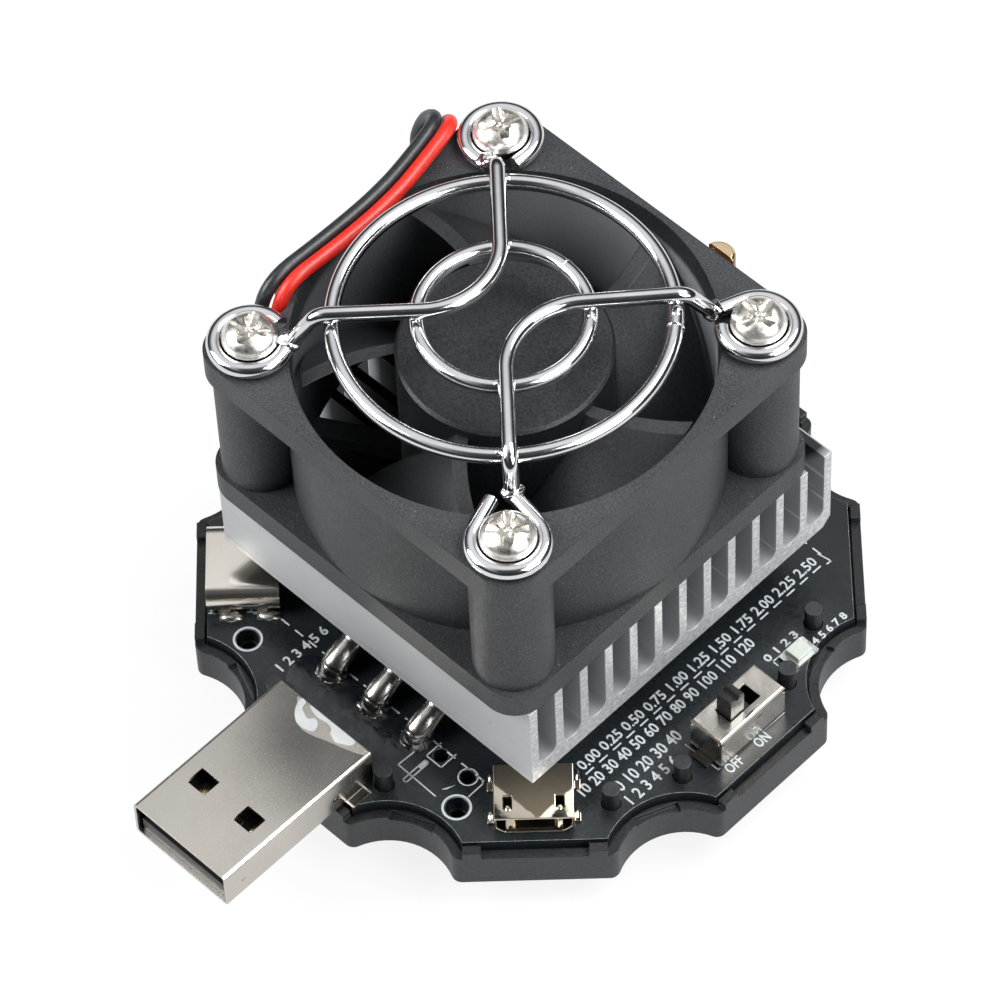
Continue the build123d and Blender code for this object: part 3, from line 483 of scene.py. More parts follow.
GRAPHS = {
    "housing": housing_plastic(),
    "fan_plastic": fan_plastic(),
    "rotor_plastic": rotor_plastic(),
    "black_plastic": plastic("black_plastic", (0.008, 0.008, 0.009), (0.013, 0.013, 0.014), 0.38,
                             0.2, 0.008),
    "knob_plastic": plastic("knob_plastic", (0.01, 0.01, 0.01), (0.022, 0.022, 0.022), 0.3,
                            0.3, 0.02, 1.5),
    "chip": plastic("chip_resin", (0.014, 0.014, 0.015), (0.022, 0.022, 0.023), 0.5, 0.12, 0.006),
    "foam": plastic("foam_pad", (0.05, 0.05, 0.05), (0.09, 0.09, 0.09), 0.9, 0.6, 0.08),
    "display": plastic("display_panel", (0.01, 0.012, 0.014), (0.014, 0.016, 0.018), 0.15, 0.5,
                       0.001, coat=0.5),
    "magnet": plastic("magnet_rubber", (0.03, 0.03, 0.03), (0.05, 0.05, 0.05), 0.7, 0.3, 0.02),
    "black_lead": plastic("black_insulation", (0.01, 0.012, 0.014), (0.016, 0.019, 0.022), 0.36,
                          0.35, 0.01, 3.0),
    "red_lead": plastic("red_insulation", (0.5, 0.014, 0.008), (0.64, 0.026, 0.014), 0.36,
                        0.35, 0.01, 3.0),
    "print": plastic("board_print", (0.4, 0.44, 0.46), (0.56, 0.6, 0.62), 0.55, 0.1, 0.004, 1.0),
    "board": board_lacquer(),
    "window": window_plastic(),
    "heatsink": heatsink_metal(),
    "brass": shaft_brass(),
    "plug_steel": plug_steel(),
    "micro_steel": micro_steel(),
    "switch_tin": switch_tin(),
    "plated_steel": metal("nickel_plate", (0.58, 0.55, 0.5), (0.66, 0.63, 0.575), 0.27, 0.16,
                          0.003, 7.0, 0.35, 0.05),
    "oval_steel": metal("oval_nickel", (0.8, 0.745, 0.67), (0.88, 0.83, 0.755), 0.2, 0.3, 0.002,
                        6.0, 0.25, 0.03),
    "contact": metal("contact_gold", (0.36, 0.31, 0.22), (0.46, 0.4, 0.29), 0.26),
    "solder": metal("bright_solder", (0.34, 0.33, 0.32), (0.5, 0.49, 0.47), 0.22, 1.2, 0.006, 2.0,
                    0.4, 0.05),
    "dull_solder": metal("dull_solder", (0.08, 0.075, 0.07), (0.26, 0.25, 0.235), 0.3, 0.6, 0.04,
                         1.0),
    "foot_solder": metal("foot_solder", (0.5, 0.5, 0.47), (0.72, 0.72, 0.68), 0.22, 0.9, 0.02),
    "winding": metal("enamelled_wire", (0.42, 0.16, 0.05), (0.6, 0.26, 0.09), 0.35, 0.3, 0.05,
                     stretch=(0.2, 0.2, 1)),
    "shaft_steel": metal("ground_steel", (0.5, 0.5, 0.51), (0.62, 0.62, 0.63), 0.25),
    "guard_wire": metal("bright_chrome", (0.72, 0.72, 0.74), (0.86, 0.86, 0.88), 0.11, 0.8, 0.006,
                        4.0, 0.4, 0.03),
    "screw": metal("screw_nickel", (0.84, 0.81, 0.75), (0.96, 0.94, 0.9), 0.32, 0.5, 0.006, 1.6),
    # The screw's nickel made darker: painted shade in the recesses
    "recess": metal("shaded_recess_nickel", (0.42, 0.4, 0.36), (0.66, 0.635, 0.58), 0.32, 0.35, 0.05,
                    0.5),
    "lamp": soft_resin("lamp_resin", (0.74, 0.79, 0.74), 0.15, 0.35),
    "glue": soft_resin("white_glue", (0.6, 0.62, 0.62), 0.25, 0.1),
    "clear_glue": soft_resin("clear_glue", (0.4, 0.38, 0.345), 0.22, 0.25, 0.03),
    "flux": soft_resin("flux_film", (0.007, 0.009, 0.011), 0.12, 0.0, 0.12),
}
MATERIALS = {name: graph.made for name, graph in GRAPHS.items()}
FINISHES = {"fan_rotor": "rotor_plastic", "usb_a_shell": "plug_steel",
            "micro_usb_shell": "micro_steel", "usb_c_shell": "oval_steel",
            "load_switch_case": "switch_tin", "load_switch_knob": "knob_plastic"}
SLOTS = {row["node"]: row["material_slot"] for row in frame["record"]["subparts"]}
for name, slot in SLOTS.items():
    mesh = nodes[name].data
    mesh.materials.clear()
    mesh.materials.append(MATERIALS[FINISHES.get(name, slot)])
wire_black.data.materials.append(MATERIALS["black_lead"])
wire_red.data.materials.append(MATERIALS["red_lead"])


# Helpers for pieces
SHARP_ANGLE = 35
BODIES = {name: body for body, members in frame["record"]["behaviour"]["bodies"].items()
          for name in members}


def placed(name, data, stand_in):
    """An object that takes its body from a node."""
    piece = new_object(name, data)
    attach(piece, BODIES[stand_in])
    return piece


def smooth(mesh, angle):
    """Smooth shading, but sharp edges past an angle."""
    mesh.polygons.foreach_set("use_smooth", [True] * len(mesh.polygons))
    mesh.set_sharp_from_angle(angle=math.radians(angle))


def softened(name, width):
    """A copy of a node in its place, with its edges rounded off or, at width 0, only crisp."""
    data = nodes[name].data.copy()
    data.name = name + "_form"
    work = bmesh.new()
    work.from_mesh(data)
    bmesh.ops.remove_doubles(work, verts=work.verts, dist=2e-6)
    if width:
        bmesh.ops.dissolve_limit(work, angle_limit=math.radians(0.8), verts=work.verts,
                                 edges=work.edges)
    work.to_mesh(data)
    work.free()
    if "custom_normal" in data.attributes:
        data.attributes.remove(data.attributes["custom_normal"])
    smooth(data, SHARP_ANGLE)
    piece = placed(name + "_form", data, name)
    if width:
        bevel = piece.modifiers.new("round", "BEVEL")
        bevel.width = width * MM
        bevel.segments = 2
        bevel.limit_method = "ANGLE"
        bevel.angle_limit = math.radians(SHARP_ANGLE)
        bevel.harden_normals = True
        bevel.use_clamp_overlap = True
    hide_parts(name)


def built(name, parts, stand_in, finish, angle=60):
    """A mesh piece from (points, faces) pairs in millimetres."""
    verts, faces = [], []
    for part_verts, part_faces in parts:
        faces += [tuple(index + len(verts) for index in face) for face in part_faces]
        verts += part_verts
    mesh = bpy.data.meshes.new(name)
    mesh.from_pydata([tuple(value * MM for value in point) for point in verts], [], faces)
    work = bmesh.new()
    work.from_mesh(mesh)
    bmesh.ops.recalc_face_normals(work, faces=work.faces)
    work.to_mesh(mesh)
    work.free()
    smooth(mesh, angle)
    mesh.materials.append(MATERIALS[finish])
    return placed(name, mesh, stand_in)


def polar(centre, reach, degrees, height):
    """The point at a reach and a heading from a centre."""
    angle = math.radians(degrees)
    return Vector((centre[0] + reach * math.cos(angle), centre[1] + reach * math.sin(angle),
                   height))


def walls(count, levels):
    """Quads between stacked loops of points."""
    return [(level * count + step, level * count + (step + 1) % count,
             (level + 1) * count + (step + 1) % count, (level + 1) * count + step)
            for level in range(levels - 1) for step in range(count)]


def ring_stack(rings, steps, centre=(0, 0)):
    """Closed solid from rings, bottom first; each is a radius, or a function of the heading, and
    a height, or a function of the radius."""
    verts = []
    for radius, height in rings:
        for step in range(steps):
            degrees = 360 * step / steps
            reach = radius(degrees) if callable(radius) else radius
            level = height(reach) if callable(height) else height
            verts.append(tuple(polar(centre, reach, degrees, level)))
    last = (len(rings) - 1) * steps
    caps = [tuple(range(steps)), tuple(range(last, last + steps))]
    return verts, walls(steps, len(rings)) + caps


def revolved(section, steps, centre):
    """A closed section of (reach, height) points carried round an upright axis."""
    verts = [tuple(polar(centre, reach, 360 * step / steps, level))
             for step in range(steps) for reach, level in section]
    wrapped = [tuple(index % len(verts) for index in face)
               for face in walls(len(section), steps + 1)]
    return verts, wrapped


def slab(outline, low, high):
    """Upright prism over an outline."""
    count = len(outline)
    verts = [(x, y, z) for z in (low, high) for x, y in outline]
    return verts, walls(count, 2) + [tuple(range(count)), tuple(range(count, 2 * count))]


def stroke(points, width):
    """A printed line: one slab for each straight run."""
    parts = []
    for start, end in zip(points, points[1:]):
        along = (Vector(end) - Vector(start)).normalized() * width / 2
        side = Vector((-along.y, along.x))
        first, last = Vector(start) - along, Vector(end) + along
        parts.append(slab((first - side, last - side, last + side, first + side),
                          PRINT_LOW, PRINT_HIGH))
    return parts


def ball(radius, detail):
    """Points and faces of a round mesh."""
    work = bmesh.new()
    bmesh.ops.create_icosphere(work, subdivisions=detail, radius=radius)
    points = [vert.co.copy() for vert in work.verts]
    faces = [tuple(vert.index for vert in face.verts) for face in work.faces]
    work.free()
    return points, faces


def blob(centre, radii, heading=0.0, wrinkle=0.0, grain=1.0, detail=3, tilt=0.0):
    """An ellipsoid turned by its heading and tilted, with a wrinkled skin."""
    turned = Matrix.Rotation(math.radians(heading), 3, "Z") @ Matrix.Rotation(
        math.radians(tilt), 3, "X")
    points, faces = ball(1.0, detail)
    verts = []
    for point in points:
        swell = 1 + wrinkle * field.noise(point * grain + Vector(centre))
        shaped = Vector([point[axis] * radii[axis] * swell for axis in range(3)])
        verts.append(tuple(Vector(centre) + turned @ shaped))
    return verts, faces


def capsule(start, end, radius):
    """A thin rod from one point to another with round ends."""
    turned = (end - start).normalized().to_track_quat("Z", "Y").to_matrix()
    points, faces = ball(radius, 2)
    return [tuple((end if point.z > 0 else start) + turned @ point) for point in points], faces


def spindle(start, end, slim, bulge):
    """A rod that swells into a drop near its end."""
    steps = 40
    turned = (end - start).normalized().to_track_quat("Z", "Y").to_matrix()
    length = (end - start).length
    rings = []
    for step in range(steps + 1):
        share = step / steps
        swell = slim + bulge * math.exp(-((share - 0.66) / 0.3) ** 2)
        close = math.sqrt(max(1 - (max(share - 0.78, 0) / 0.225) ** 2, 0))
        rings.append((swell * close, share * length))
    verts, faces = ring_stack(rings, steps)
    return [tuple(start + turned @ Vector(vert)) for vert in verts], faces


def pool(outline, low, height):
    """A thin pool over an outline: thin at its edge, uneven on top."""
    rings = 8
    centre = sum((Vector(point) for point in outline), Vector((0, 0))) / len(outline)
    verts = []
    for step in range(rings):
        for point in outline:
            spot = centre.lerp(Vector(point), 1 - step / rings)
            swell = 1 + 0.4 * field.noise(Vector((spot.x * 1.7, spot.y * 1.7, low)))
            verts.append((spot.x, spot.y, low + height * min(step, 1) * swell))
    verts.append((centre.x, centre.y, low + height))
    count = len(outline)
    inner = (rings - 1) * count
    faces = [tuple(range(count))] + walls(count, rings)
    faces += [(inner + step, inner + (step + 1) % count, len(verts) - 1)
              for step in range(count)]
    return verts, faces


def smooth_outline(points, steps=4):
    """A closed outline rounded through its points."""
    count = len(points)
    made = []
    for index in range(count):
        before, start, end, after = [Vector(points[(index + shift) % count])
                                     for shift in (-1, 0, 1, 2)]
        for step in range(steps):
            t = step / steps
            made.append(tuple(0.5 * (2 * start + (end - before) * t
                                     + (2 * before - 5 * start + 4 * end - after) * t ** 2
                                     + (3 * start - 3 * end + after - before) * t ** 3)))
    return made


# Node copies with rounded or crisp edges
for name, width in (("base_housing", 0), ("fan_rotor", 0), ("main_board", 0.09),
                    ("heatsink", 0.12), ("fan_frame", 0.16), ("usb_a_shell", 0.12),
                    ("usb_a_insert", 0.1), ("micro_usb_shell", 0.1), ("usb_c_shell", 0.08),
                    ("load_switch_case", 0.2), ("load_switch_knob", 0.12),
                    ("adjuster_body", 0.15), ("adjuster_shaft", 0.08), ("fan_header", 0.12),
                    ("fan_plug", 0.12), ("load_led", 0.08), ("power_transistor", 0.15)):
    softened(name, width)


# Levels and places that the pieces share, millimetres
BOARD_TOP = 8.5
FAN_TOP = 45.9
HUB_TOP = 45.0
SCREW_REACH = 16.0
GUARD_FOOT = FAN_TOP + 0.03
WIRE_RADIUS = 0.75
RING_HEIGHT = GUARD_FOOT + 3.3
OUTER_RING = 15.3
INNER_RING = 7.75
LEG_X = (-5.25, 0.2, 5.65)
LEG_SLIM = 1.1
LEG_BULGE = 0.24
PLUG_TOP = 13.0


# Screws: pan heads with worn cross recesses
HEAD_RADIUS = 2.56
HEAD_HEIGHT = 2.2
DOME_HEIGHT = 1.86
BRIM = 0.32
RIM_RADIUS = HEAD_RADIUS - 0.05
THREAD_CORE = 1.15
THREAD_RIDGE = 1.45
THREAD_TURNS = 14
HEAD_TURNS = (((1, -1), 43), ((1, 1), -2), ((-1, -1), 23), ((-1, 1), 58))
CROSS_CORE = 1.16
CROSS_REACH = 1.9
CROSS_WING = 24.0


def screw_place(side):
    """The screw's centre at one corner."""
    return FAN_CENTRE[0] + side[0] * SCREW_REACH, FAN_CENTRE[1] + side[1] * SCREW_REACH


def cross_radius(turn, scale=1.0):
    """The recess outline: four wings round a core, with worn edges."""
    def radius(degrees):
        off = (degrees - turn + 45) % 90 - 45
        wing = math.exp(-(off / CROSS_WING) ** 4)
        angle = math.radians(degrees)
        wear = 0.06 * math.sin(5 * angle + turn) + 0.03 * math.sin(13 * angle)
        return scale * (CROSS_CORE + (CROSS_REACH - CROSS_CORE) * wing + wear)
    return radius


def crown(reach):
    """Height of the domed head over its brim."""
    share = min(reach / HEAD_RADIUS, 1.0)
    return (DOME_HEIGHT - BRIM) * (1 - share ** 2.8) ** 0.62


def screw(place, turn, seat, low):
    """One screw and the skin of its recess."""
    def skin(reach):
        return seat + BRIM + crown(reach)
    rings = []
    for step in range(THREAD_TURNS):
        height = low + (seat - low) * step / THREAD_TURNS
        rings += [(THREAD_CORE, height), (THREAD_RIDGE, height + 0.35)]
    rings += [(THREAD_RIDGE, seat), (HEAD_RADIUS - 0.1, seat), (HEAD_RADIUS, seat + 0.08),
              (HEAD_RADIUS, seat + 0.26), (RIM_RADIUS, seat + BRIM)]
    edge = cross_radius(turn)
    for share in (0.03, 0.08, 0.15, 0.25, 0.38, 0.54, 0.72, 0.88, 1.0):
        def reach(degrees, s=share):
            return RIM_RADIUS * (1 - s) + edge(degrees) * s
        rings.append((reach, skin))
    head_verts, head_faces = ring_stack(rings, 96, place)
    head_faces.pop()
    top = skin(CROSS_CORE)
    hollow = [(edge, skin), (cross_radius(turn, 0.95), lambda reach: skin(reach) - 0.1),
              (cross_radius(turn, 0.80), top - 0.45), (cross_radius(turn, 0.46), top - 0.66),
              (cross_radius(turn, 0.2), top - 0.6), (0.12, top - 0.74)]
    cut_verts, cut_faces = ring_stack(hollow, 96, place)
    cut_faces.pop(-2)
    return (head_verts, head_faces), (cut_verts, cut_faces)


def fan_screws():
    """Four screws in the place of the plain ones, with warm worn recesses darkened by painted
    shade.
    """
    low_corner, high_corner = [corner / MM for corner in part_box("fan_screws")]
    heads, recesses = zip(*[screw(screw_place(side), turn, high_corner[2] - HEAD_HEIGHT,
                                  low_corner[2]) for side, turn in HEAD_TURNS])
    piece = built("screw_heads", heads, "fan_screws", "screw", 40)
    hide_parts("fan_screws")
    built("screw_recesses", recesses, "fan_screws", "recess", 30)


fan_screws()


# Guard: bent wires in the node's place, with their welds
LOOP_RADIUS = 3.25
LOOP_HEIGHT = GUARD_FOOT + WIRE_RADIUS
ARM_HEIGHT = GUARD_FOOT + 4.6
KINK_BEND = 1.65
ARM_BEND = 7.25
CORNERS = (
    {"side": (-1, -1), "neck": (3.5, 39.0), "free": (3.25, 80.0), "kink": (6.17, 43.1)},
    {"side": (-1, 1), "neck": (3.45, 294.0), "free": (3.5, 335.0), "kink": (6.3, 312.2)},
    {"side": (1, -1), "neck": (5.1, 130.0), "free": (4.7, 152.6), "kink": (6.2, 132.0)},
    {"side": (1, 1), "neck": (4.4, 200.5), "free": (3.25, 226.0), "kink": (6.48, 216.9)},
)
BUTT_JOINTS = ((INNER_RING, 88.8), (OUTER_RING, 38.0))


def filleted(points, radii):
    """Points along a path of straight runs joined by round bends."""
    made = [points[0]]
    for index, radius in enumerate(radii):
        before, corner, after = points[index:index + 3]
        into, out = (before - corner).normalized(), (after - corner).normalized()
        half = into.angle(out) / 2
        centre = corner + (into + out).normalized() * radius / math.sin(half)
        first = corner + into * radius / math.tan(half) - centre
        last = corner + out * radius / math.tan(half) - centre
        steps = max(8, int(radius * 5))
        for step in range(steps + 1):
            ray = first.normalized().slerp(last.normalized(), step / steps)
            made.append(centre + ray * radius)
    made.append(points[-1])
    return made


def loop_path(corner):
    """Open loop round a screw, from the welded neck to the free end."""
    centre = screw_place(corner["side"])
    neck_reach, neck_turn = corner["neck"]
    free_reach, free_turn = corner["free"]
    start = neck_turn - math.degrees(math.acos(LOOP_RADIUS / neck_reach))
    stop = free_turn + math.degrees(math.acos(LOOP_RADIUS / free_reach)) - 360
    steps = 72
    path = [polar(centre, neck_reach, neck_turn, LOOP_HEIGHT)]
    path += [polar(centre, LOOP_RADIUS, start + (stop - start) * step / steps, LOOP_HEIGHT)
             for step in range(steps + 1)]
    if free_reach > LOOP_RADIUS:
        path.append(polar(centre, free_reach, free_turn, LOOP_HEIGHT))
    return path


def arm_path(first, second):
    """Arm from one neck, level over the rings and round the middle, to the next neck."""
    ends = []
    for corner in (first, second):
        centre = screw_place(corner["side"])
        ends.append([polar(centre, *corner["neck"], LOOP_HEIGHT),
                     polar(centre, *corner["kink"], ARM_HEIGHT)])
    middle = Vector((*FAN_CENTRE, ARM_HEIGHT))
    return filleted(ends[0] + [middle] + ends[1][::-1], (KINK_BEND, ARM_BEND, KINK_BEND))


def ring_path(radius):
    """A full circle about the fan's axis."""
    steps = 144
    return [polar(FAN_CENTRE, radius, 360 * step / steps, RING_HEIGHT) for step in range(steps)]


def guard_wires():
    """All the wires of the guard."""
    open_paths = [loop_path(corner) for corner in CORNERS]
    open_paths += [arm_path(*CORNERS[:2]), arm_path(*CORNERS[2:])]
    closed_paths = [ring_path(OUTER_RING), ring_path(INNER_RING)]
    curve = round_wire("guard_wires", "POLY", open_paths + closed_paths, WIRE_RADIUS, 8)
    for index, spline in enumerate(curve.splines):
        spline.use_cyclic_u = index >= len(open_paths)
        spline.use_smooth = True
    curve.materials.append(MATERIALS["guard_wire"])
    piece = placed("guard_wires", curve, "finger_guard")
    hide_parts("finger_guard")


def guard_welds():
    """Welded spots of the wire guard."""
    parts = []
    for index, corner in enumerate(CORNERS):
        out = Vector(corner["side"]).normalized()
        place = polar(screw_place(corner["side"]), *corner["neck"], LOOP_HEIGHT + 0.25)
        parts.append(blob(place, (1.08, 0.95, 0.86), 40 * index, 0.3, 1.3, 4, 15))
        for radius in (OUTER_RING, INNER_RING):
            for shift in (-0.66, 0.66):
                spot = Vector(FAN_CENTRE) + out * radius + Vector((-out.y, out.x)) * shift
                place = (spot.x, spot.y, RING_HEIGHT + 0.42)
                parts.append(blob(place, (0.46, 0.42, 0.4), 45, 0.3, 1.6))
    for radius, angle in BUTT_JOINTS:
        place = polar(FAN_CENTRE, radius, angle, RING_HEIGHT)
        parts.append(blob(place, (0.85, 0.2, 0.85), angle, 0.12, 2.0))
    built("guard_welds", parts, "finger_guard", "guard_wire")


guard_wires()
guard_welds()


# Rotor: the moulding marks on the hub's face
def hub_marks():
    """A shallow ring and a centre dimple on the hub."""
    parts = []
    for radius, width, height in ((2.3, 0.09, 0.03), (0.62, 0.16, 0.07)):
        section = ((radius, HUB_TOP - 0.02), (radius + width, HUB_TOP - 0.02),
                   (radius + width / 2, HUB_TOP + height))
        parts.append(revolved(section, 64, FAN_CENTRE))
    built("hub_marks", parts, "fan_rotor", "rotor_plastic", 30)


hub_marks()


# Board prints
PRINT_LOW = BOARD_TOP
PRINT_HIGH = BOARD_TOP + 0.025
PIN_B = (12.15, -20.65)
OUTLINE_X = 19.85
OUTLINE_Y = 19.98
DASH = 0.92
DASH_PITCH = 1.82
DASH_START = -18.42
DASH_REACH = 19.5
PRINT_PATCHES = (((7.97, -23.0), (8.38, -23.0), (8.38, -22.0), (7.97, -22.0)),
                 ((11.3, -23.3), (11.65, -23.0), (11.9, -22.1)))
PRINT_LINES = (
    ((7.7, -19.7), (7.7, -21.6), (9.6, -21.6), (9.6, -19.7)),
    ((13.32, -19.97), (13.66, -20.23), (13.69, -22.11)),
    ((6.6, -21.35), (6.48, -24.07), (11.38, -24.2)),
    ((7.95, -25.0), (7.95, -22.0), (8.4, -22.0), (8.4, -25.0), (7.95, -25.0)),
    ((-18.46, -24.15), (-17.52, -23.28), (-18.05, -22.77)),
    ((-15.92, -21.59), (-14.57, -20.34), (-14.96, -20.01)),
    ((24.3, -4.4), (28.4, -4.35), (28.55, 4.42)),
    ((24.8, 7.9), (23.95, 7.9), (23.95, 11.75), (25.75, 11.75)),
    ((26.0, 11.2), (26.0, 8.4)),
    ((18.73, 19.83), (20.17, 20.07), (20.13, 19.56)),
    ((-18.85, -23.75), (-18.2, -23.95), (-17.75, -23.45), (-18.3, -23.15), (-18.85, -23.75)),
    ((-16.0, -21.2), (-15.35, -21.3), (-14.85, -20.75), (-15.5, -20.6), (-16.0, -21.2)),
)
NUMBER_ROWS = (
    ("0.00 0.25 0.50 0.75 1.00 1.25 1.50 1.75 2.00 2.25 2.50", (19.42, -12.9), 1.12, 32.0),
    ("10 20 30 40 50 60 70 80 90 100 110 120", (21.45, -14.9), 1.2, 23.2),
    ("0 10 20 30 40", (23.6, -12.2), 1.35, 8.3),
    ("1 2 3 4 5 6", (25.3, -12.5), 1.25, 6.4),
    ("0 1 2 3", (23.7, 7.5), 0.85, 4.3),
    ("4 5 6 7 8", (25.6, 12.0), 0.8, 4.5),
    ("1 2 3 4 5 6", (-8.7, -24.1), 1.1, 6.2),
    ("OFF", (29.6, -3.9), 1.15, 1.9),
    ("ON", (29.6, 0.0), 1.15, 1.6),
)


def print_lines():
    """Outlines, rings and dashes printed on the board."""
    parts = [slab(outline, PRINT_LOW, PRINT_HIGH) for outline in PRINT_PATCHES]
    for points in PRINT_LINES:
        parts += stroke(points, 0.13)
    for count in range(22):
        low = DASH_START + DASH_PITCH * count
        high = low + DASH
        if max(abs(low), abs(high)) < DASH_REACH:
            for side in (-1, 1):
                parts += stroke(((side * OUTLINE_X, low), (side * OUTLINE_X, high)), 0.16)
                parts += stroke(((low, side * OUTLINE_Y), (high, side * OUTLINE_Y)), 0.16)
    rings = [(PIN_B, 0.86, 0.98)]
    rings += [(polar((0, 0), 27.4, angle, 0), 1.2, 1.42) for angle in (240, 300)]
    for centre, inner, outer in rings:
        section = ((inner, PRINT_LOW), (outer, PRINT_LOW), (outer, PRINT_HIGH),
                   (inner, PRINT_HIGH))
        parts.append(revolved(section, 48, centre))
    built("print_lines", parts, "main_board", "print", 40)


def print_numbers():
    """Plain numbers and the words OFF and ON, reading along +Y."""
    for index, (text, place, height, length) in enumerate(NUMBER_ROWS, 1):
        curve = bpy.data.curves.new("print", "FONT")
        curve.body = text
        curve.size = height * MM / 0.73
        curve.offset = 0.03 * MM
        curve.extrude = (PRINT_HIGH - PRINT_LOW) * MM / 2
        curve.resolution_u = 2
        source = new_object("print", curve)
        bpy.context.view_layer.update()
        mesh = bpy.data.meshes.new_from_object(source.evaluated_get(
            bpy.context.evaluated_depsgraph_get()))
        bpy.data.objects.remove(source)
        low = min(vert.co.x for vert in mesh.vertices)
        wide = max(vert.co.x for vert in mesh.vertices) - low
        for vert in mesh.vertices:
            x = (vert.co.x - low) * length * MM / wide
            vert.co = (place[0] * MM - vert.co.y, place[1] * MM + x,
                       vert.co.z + (PRINT_LOW + PRINT_HIGH) * MM / 2)
        mesh.materials.clear()
        mesh.materials.append(MATERIALS["print"])
        placed("print_row_%d" % index, mesh, "main_board")


print_lines()
print_numbers()


# Solder, flux and glue
FLUX_OUTLINE = ((-8.6, -23.0), (-8.3, -21.2), (-5.9, -19.9), (-3.1, -20.2), (0.2, -19.6),
                (2.2, -20.4), (5.0, -19.5), (7.2, -20.6), (6.3, -22.8), (5.2, -24.6),
                (3.6, -26.2), (1.2, -26.3), (-1.7, -26.2), (-5.2, -25.6), (-7.7, -24.6))
GLUE_OUTLINE = ((-3.3, -27.0), (-2.95, -27.52), (-2.4, -28.39), (-1.48, -29.1), (-0.39, -29.28),
                (0.79, -29.11), (2.58, -28.52), (4.33, -28.04), (5.75, -27.4), (5.7, -26.95),
                (4.4, -26.9), (2.0, -26.9), (0.0, -26.9), (-2.0, -26.9))
CRESCENT_OUTLINE = ((-2.9, -26.95), (-2.74, -27.7), (-2.26, -28.47), (-1.53, -29.05),
                    (-0.73, -29.2), (-0.01, -29.06), (0.5, -28.79), (0.42, -28.21),
                    (-0.05, -27.75), (-0.5, -27.75), (-0.86, -28.15), (-1.44, -28.0),
                    (-2.1, -27.65), (-2.3, -27.0))
ZIGZAG_OUTLINE = ((-1.7, -26.95), (0.0, -26.92), (1.8, -26.92), (3.4, -26.92), (4.1, -27.0),
                  (4.19, -27.4), (3.96, -27.7), (3.28, -28.03), (2.77, -28.25), (1.83, -27.92),
                  (1.48, -27.5), (0.69, -27.3), (-0.23, -27.45), (-1.1, -27.3))


# Reach and sideways place of each socket's feet, from the board's middle
MICRO_FEET = ((27.6, 3.98), (23.4, 3.95))
OVAL_FEET = ((28.05, 4.5), (24.45, 4.5))


def leg_solder():
    """Smooth solder round each leg down to its end, with a dull wrinkled foot."""
    start, end = Vector((0, -16.6, BOARD_TOP + 2.9)), Vector((0, -21.75, BOARD_TOP + 0.45))
    rods, feet = [], []
    for x in LEG_X:
        shift = Vector((x, 0, 0))
        rods.append(spindle(start + shift, end + shift, LEG_SLIM, LEG_BULGE))
        feet.append(blob((x, -21.35, BOARD_TOP + 0.1), (1.42, 0.95, 0.3), 0, 0.35, 2.2, 4))
    built("leg_solder", rods, "transistor_legs", "solder")
    built("leg_feet", feet, "transistor_legs", "dull_solder")


def socket_solder():
    """Solder over the feet of the sockets."""
    parts = []
    for heading, places, radii in ((-45, MICRO_FEET, (0.74, 0.32, 0.42)),
                                   (-135, OVAL_FEET, (1.15, 0.72, 0.45))):
        for reach, side in places:
            for sign in (-1, 1):
                place = polar((0, 0), reach, heading, BOARD_TOP + 0.04)
                place += polar((0, 0), sign * side, heading + 90, 0)
                parts.append(blob(place, radii, heading, 0.08, 1.2, 4))
    built("socket_solder", parts, "micro_usb_shell", "foot_solder")


def glue_and_flux():
    """Flux film by the legs; clear and white glue on the plug's rear."""
    film = pool(smooth_outline(FLUX_OUTLINE), BOARD_TOP, 0.05)
    built("flux_film", [film], "main_board", "flux")
    clear = slab(smooth_outline(GLUE_OUTLINE, 3), PLUG_TOP, PLUG_TOP + 0.05)
    built("glue_clear", [clear], "main_board", "clear_glue")
    white = [slab(smooth_outline(outline), PLUG_TOP + 0.04, PLUG_TOP + 0.1)
             for outline in (CRESCENT_OUTLINE, ZIGZAG_OUTLINE)]
    built("glue_white", white, "main_board", "glue")


def plug_marks():
    """A pressed dimple, ringed by a dark patch of painted shade, and two nicks in the plug's
    side.
    """
    # The dark patch round the dimple is painted shade
    parts = [blob((6.0, -31.6, 10.6), (0.02, 0.42, 0.36))]
    parts += [blob((6.0, y, 10.6), (0.012, 0.07, 0.13), detail=2) for y in (-43.5, -43.2)]
    built("plug_marks", parts, "usb_a_shell", "flux")
    dimple = blob((6.0, -31.55, 10.68), (0.04, 0.24, 0.2))
    built("plug_dimple", [dimple], "usb_a_shell", "plug_steel")


def switch_marks():
    """Corner reliefs, crimp, seam and dimple of the switch's folded case."""
    low, high = [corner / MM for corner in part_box("load_switch_case")]
    face, top, middle = high[0], high[2], (low[1] + high[1]) / 2
    dark = [blob((face - 0.12, middle + side, top - 0.42), (0.17, 0.2, 0.2))
            for side in (-4.12, 4.12)]
    dark.append(blob((face - 0.34, middle - 0.1, top - 0.02), (0.12, 0.62, 0.08), 6))
    dark.append(blob((face - 0.03, middle + 0.9, top - 1.1), (0.05, 0.5, 0.12)))
    dark.append(capsule(Vector((face - 0.03, middle - 4.2, top - 0.6)),
                        Vector((face - 0.03, middle - 4.2, BOARD_TOP + 0.2)), 0.055))
    built("switch_marks", dark, "load_switch_case", "black_plastic")
    dimple = blob((face, middle + 0.2, BOARD_TOP + 1.7), (0.05, 0.36, 0.2))
    built("switch_dimple", [dimple], "load_switch_case", "foot_solder")


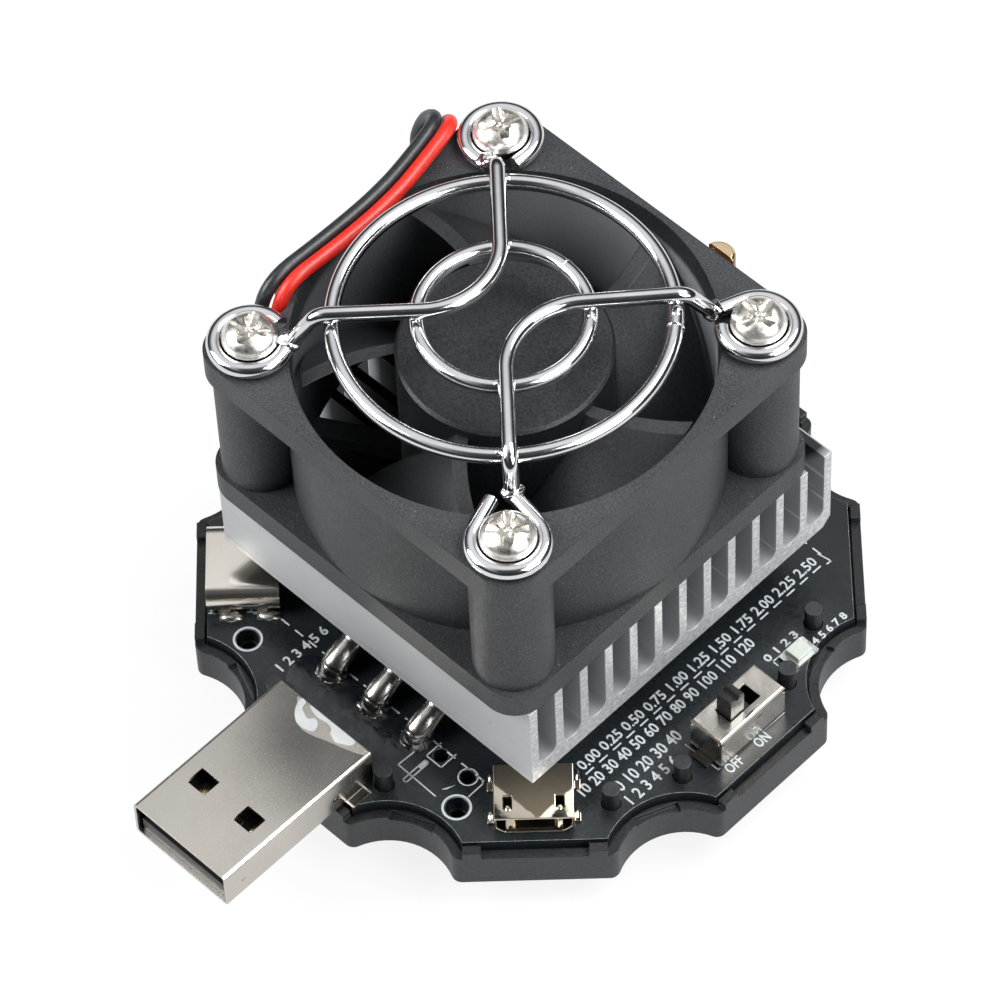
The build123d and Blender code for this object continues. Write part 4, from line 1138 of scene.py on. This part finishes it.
def lamp_ends():
    """Plated ends of the load lamp."""
    low, high = [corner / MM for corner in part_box("load_led")]
    grown = 0.03
    parts = []
    for edge, inward in ((low[1], 0.5), (high[1], -0.5)):
        first, last = sorted((edge, edge + inward))
        outline = ((low[0] - grown, first - grown), (high[0] + grown, first - grown),
                   (high[0] + grown, last), (low[0] - grown, last))
        parts.append(slab(outline, BOARD_TOP, BOARD_TOP + 0.42))
    built("lamp_ends", parts, "load_led", "foot_solder", 30)


def micro_dimples():
    """Spring dimples in front of the micro socket's two slots."""
    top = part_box("micro_usb_shell")[1][2] / MM
    parts = [blob(polar((0, 0), 28.35, -45, top) + polar((0, 0), side, 45, 0),
                  (0.34, 0.26, 0.06), -45) for side in (-2.35, 2.35)]
    built("micro_dimples", parts, "micro_usb_shell", "micro_steel")


leg_solder()
socket_solder()
glue_and_flux()
plug_marks()
switch_marks()
lamp_ends()
micro_dimples()


# Floor, light and background
def pale_floor():
    """Pale floor that shows white to the camera and keeps a faint shadow."""
    mesh = bpy.data.meshes.new("floor")
    reach = 3.0
    mesh.from_pydata([(-reach, -reach, 0), (reach, -reach, 0), (reach, reach, 0),
                      (-reach, reach, 0)], [], [(0, 1, 2, 3)])
    made = new_object("floor", mesh)
    made.location.z = -0.0001
    g = Graph(bpy.data.materials.new("floor"))
    g.tree.nodes.clear()
    seen = g.add("LightPath").outputs
    matt = g.add("BsdfDiffuse", Color=(0.8, 0.8, 0.8, 1))
    glow = g.add("Emission", Color=(1, 1, 1, 1),
                 Strength=g.spread(seen["Is Glossy Ray"], 1.0, 0.78, 0, 1))
    either = g.larger(seen["Is Camera Ray"], seen["Is Glossy Ray"])
    through = g.larger(either, seen["Is Transmission Ray"])
    g.surface(g.times(through, 0.85), matt, glow, "OutputMaterial")
    mesh.materials.append(g.made)


def studio_world():
    """White to the camera; a soft surround for light and reflections, dark behind the lens."""
    scene.world = bpy.data.worlds.new("studio")
    g = Graph(scene.world)
    g.tree.nodes.clear()
    place = g.add("TexCoord").outputs["Generated"]
    tone = g.ramp(g.axes(place)["Z"], (0.0, (0.12, 0.12, 0.13)), (0.08, (0.03, 0.03, 0.03)),
                  (0.45, (0.05, 0.05, 0.05)), (0.64, (0.36, 0.37, 0.38)),
                  (0.76, (0.88, 0.89, 0.90)), (1, (1, 1, 1)))
    shade = g.spread(g.dot(place, CAMERA_BACK), 1.0, 0.08, 0.80, 0.95)
    lit = g.add("Background", Color=tone, Strength=g.times(shade, 0.9))
    white = g.add("Background", Color=(1, 1, 1, 1), Strength=1.0)
    seen = g.add("LightPath").outputs
    either = g.larger(seen["Is Camera Ray"], seen["Is Transmission Ray"])
    g.surface(either, lit, white, "OutputWorld")


def softbox(name, place, aim, size, watts):
    """Rectangular area lamp aimed at a point; millimetres."""
    data = bpy.data.lights.new(name, "AREA")
    data.shape = "RECTANGLE"
    data.size, data.size_y = size[0] * MM, size[1] * MM
    data.energy = watts
    lamp = new_object(name, data)
    lamp.location = Vector(place) * MM
    lamp.rotation_mode = "QUATERNION"
    lamp.rotation_quaternion = (Vector(aim) * MM - lamp.location).to_track_quat("-Z", "Y")


pale_floor()
studio_world()
softbox("top_box", (170, 230, 470), (0, 0, 20), (360, 260), 2.7)
softbox("left_box", (-300, -330, 330), (0, 0, 25), (300, 340), 3.5)
softbox("right_box", (420, 60, 330), (0, 0, 25), (280, 340), 2.3)
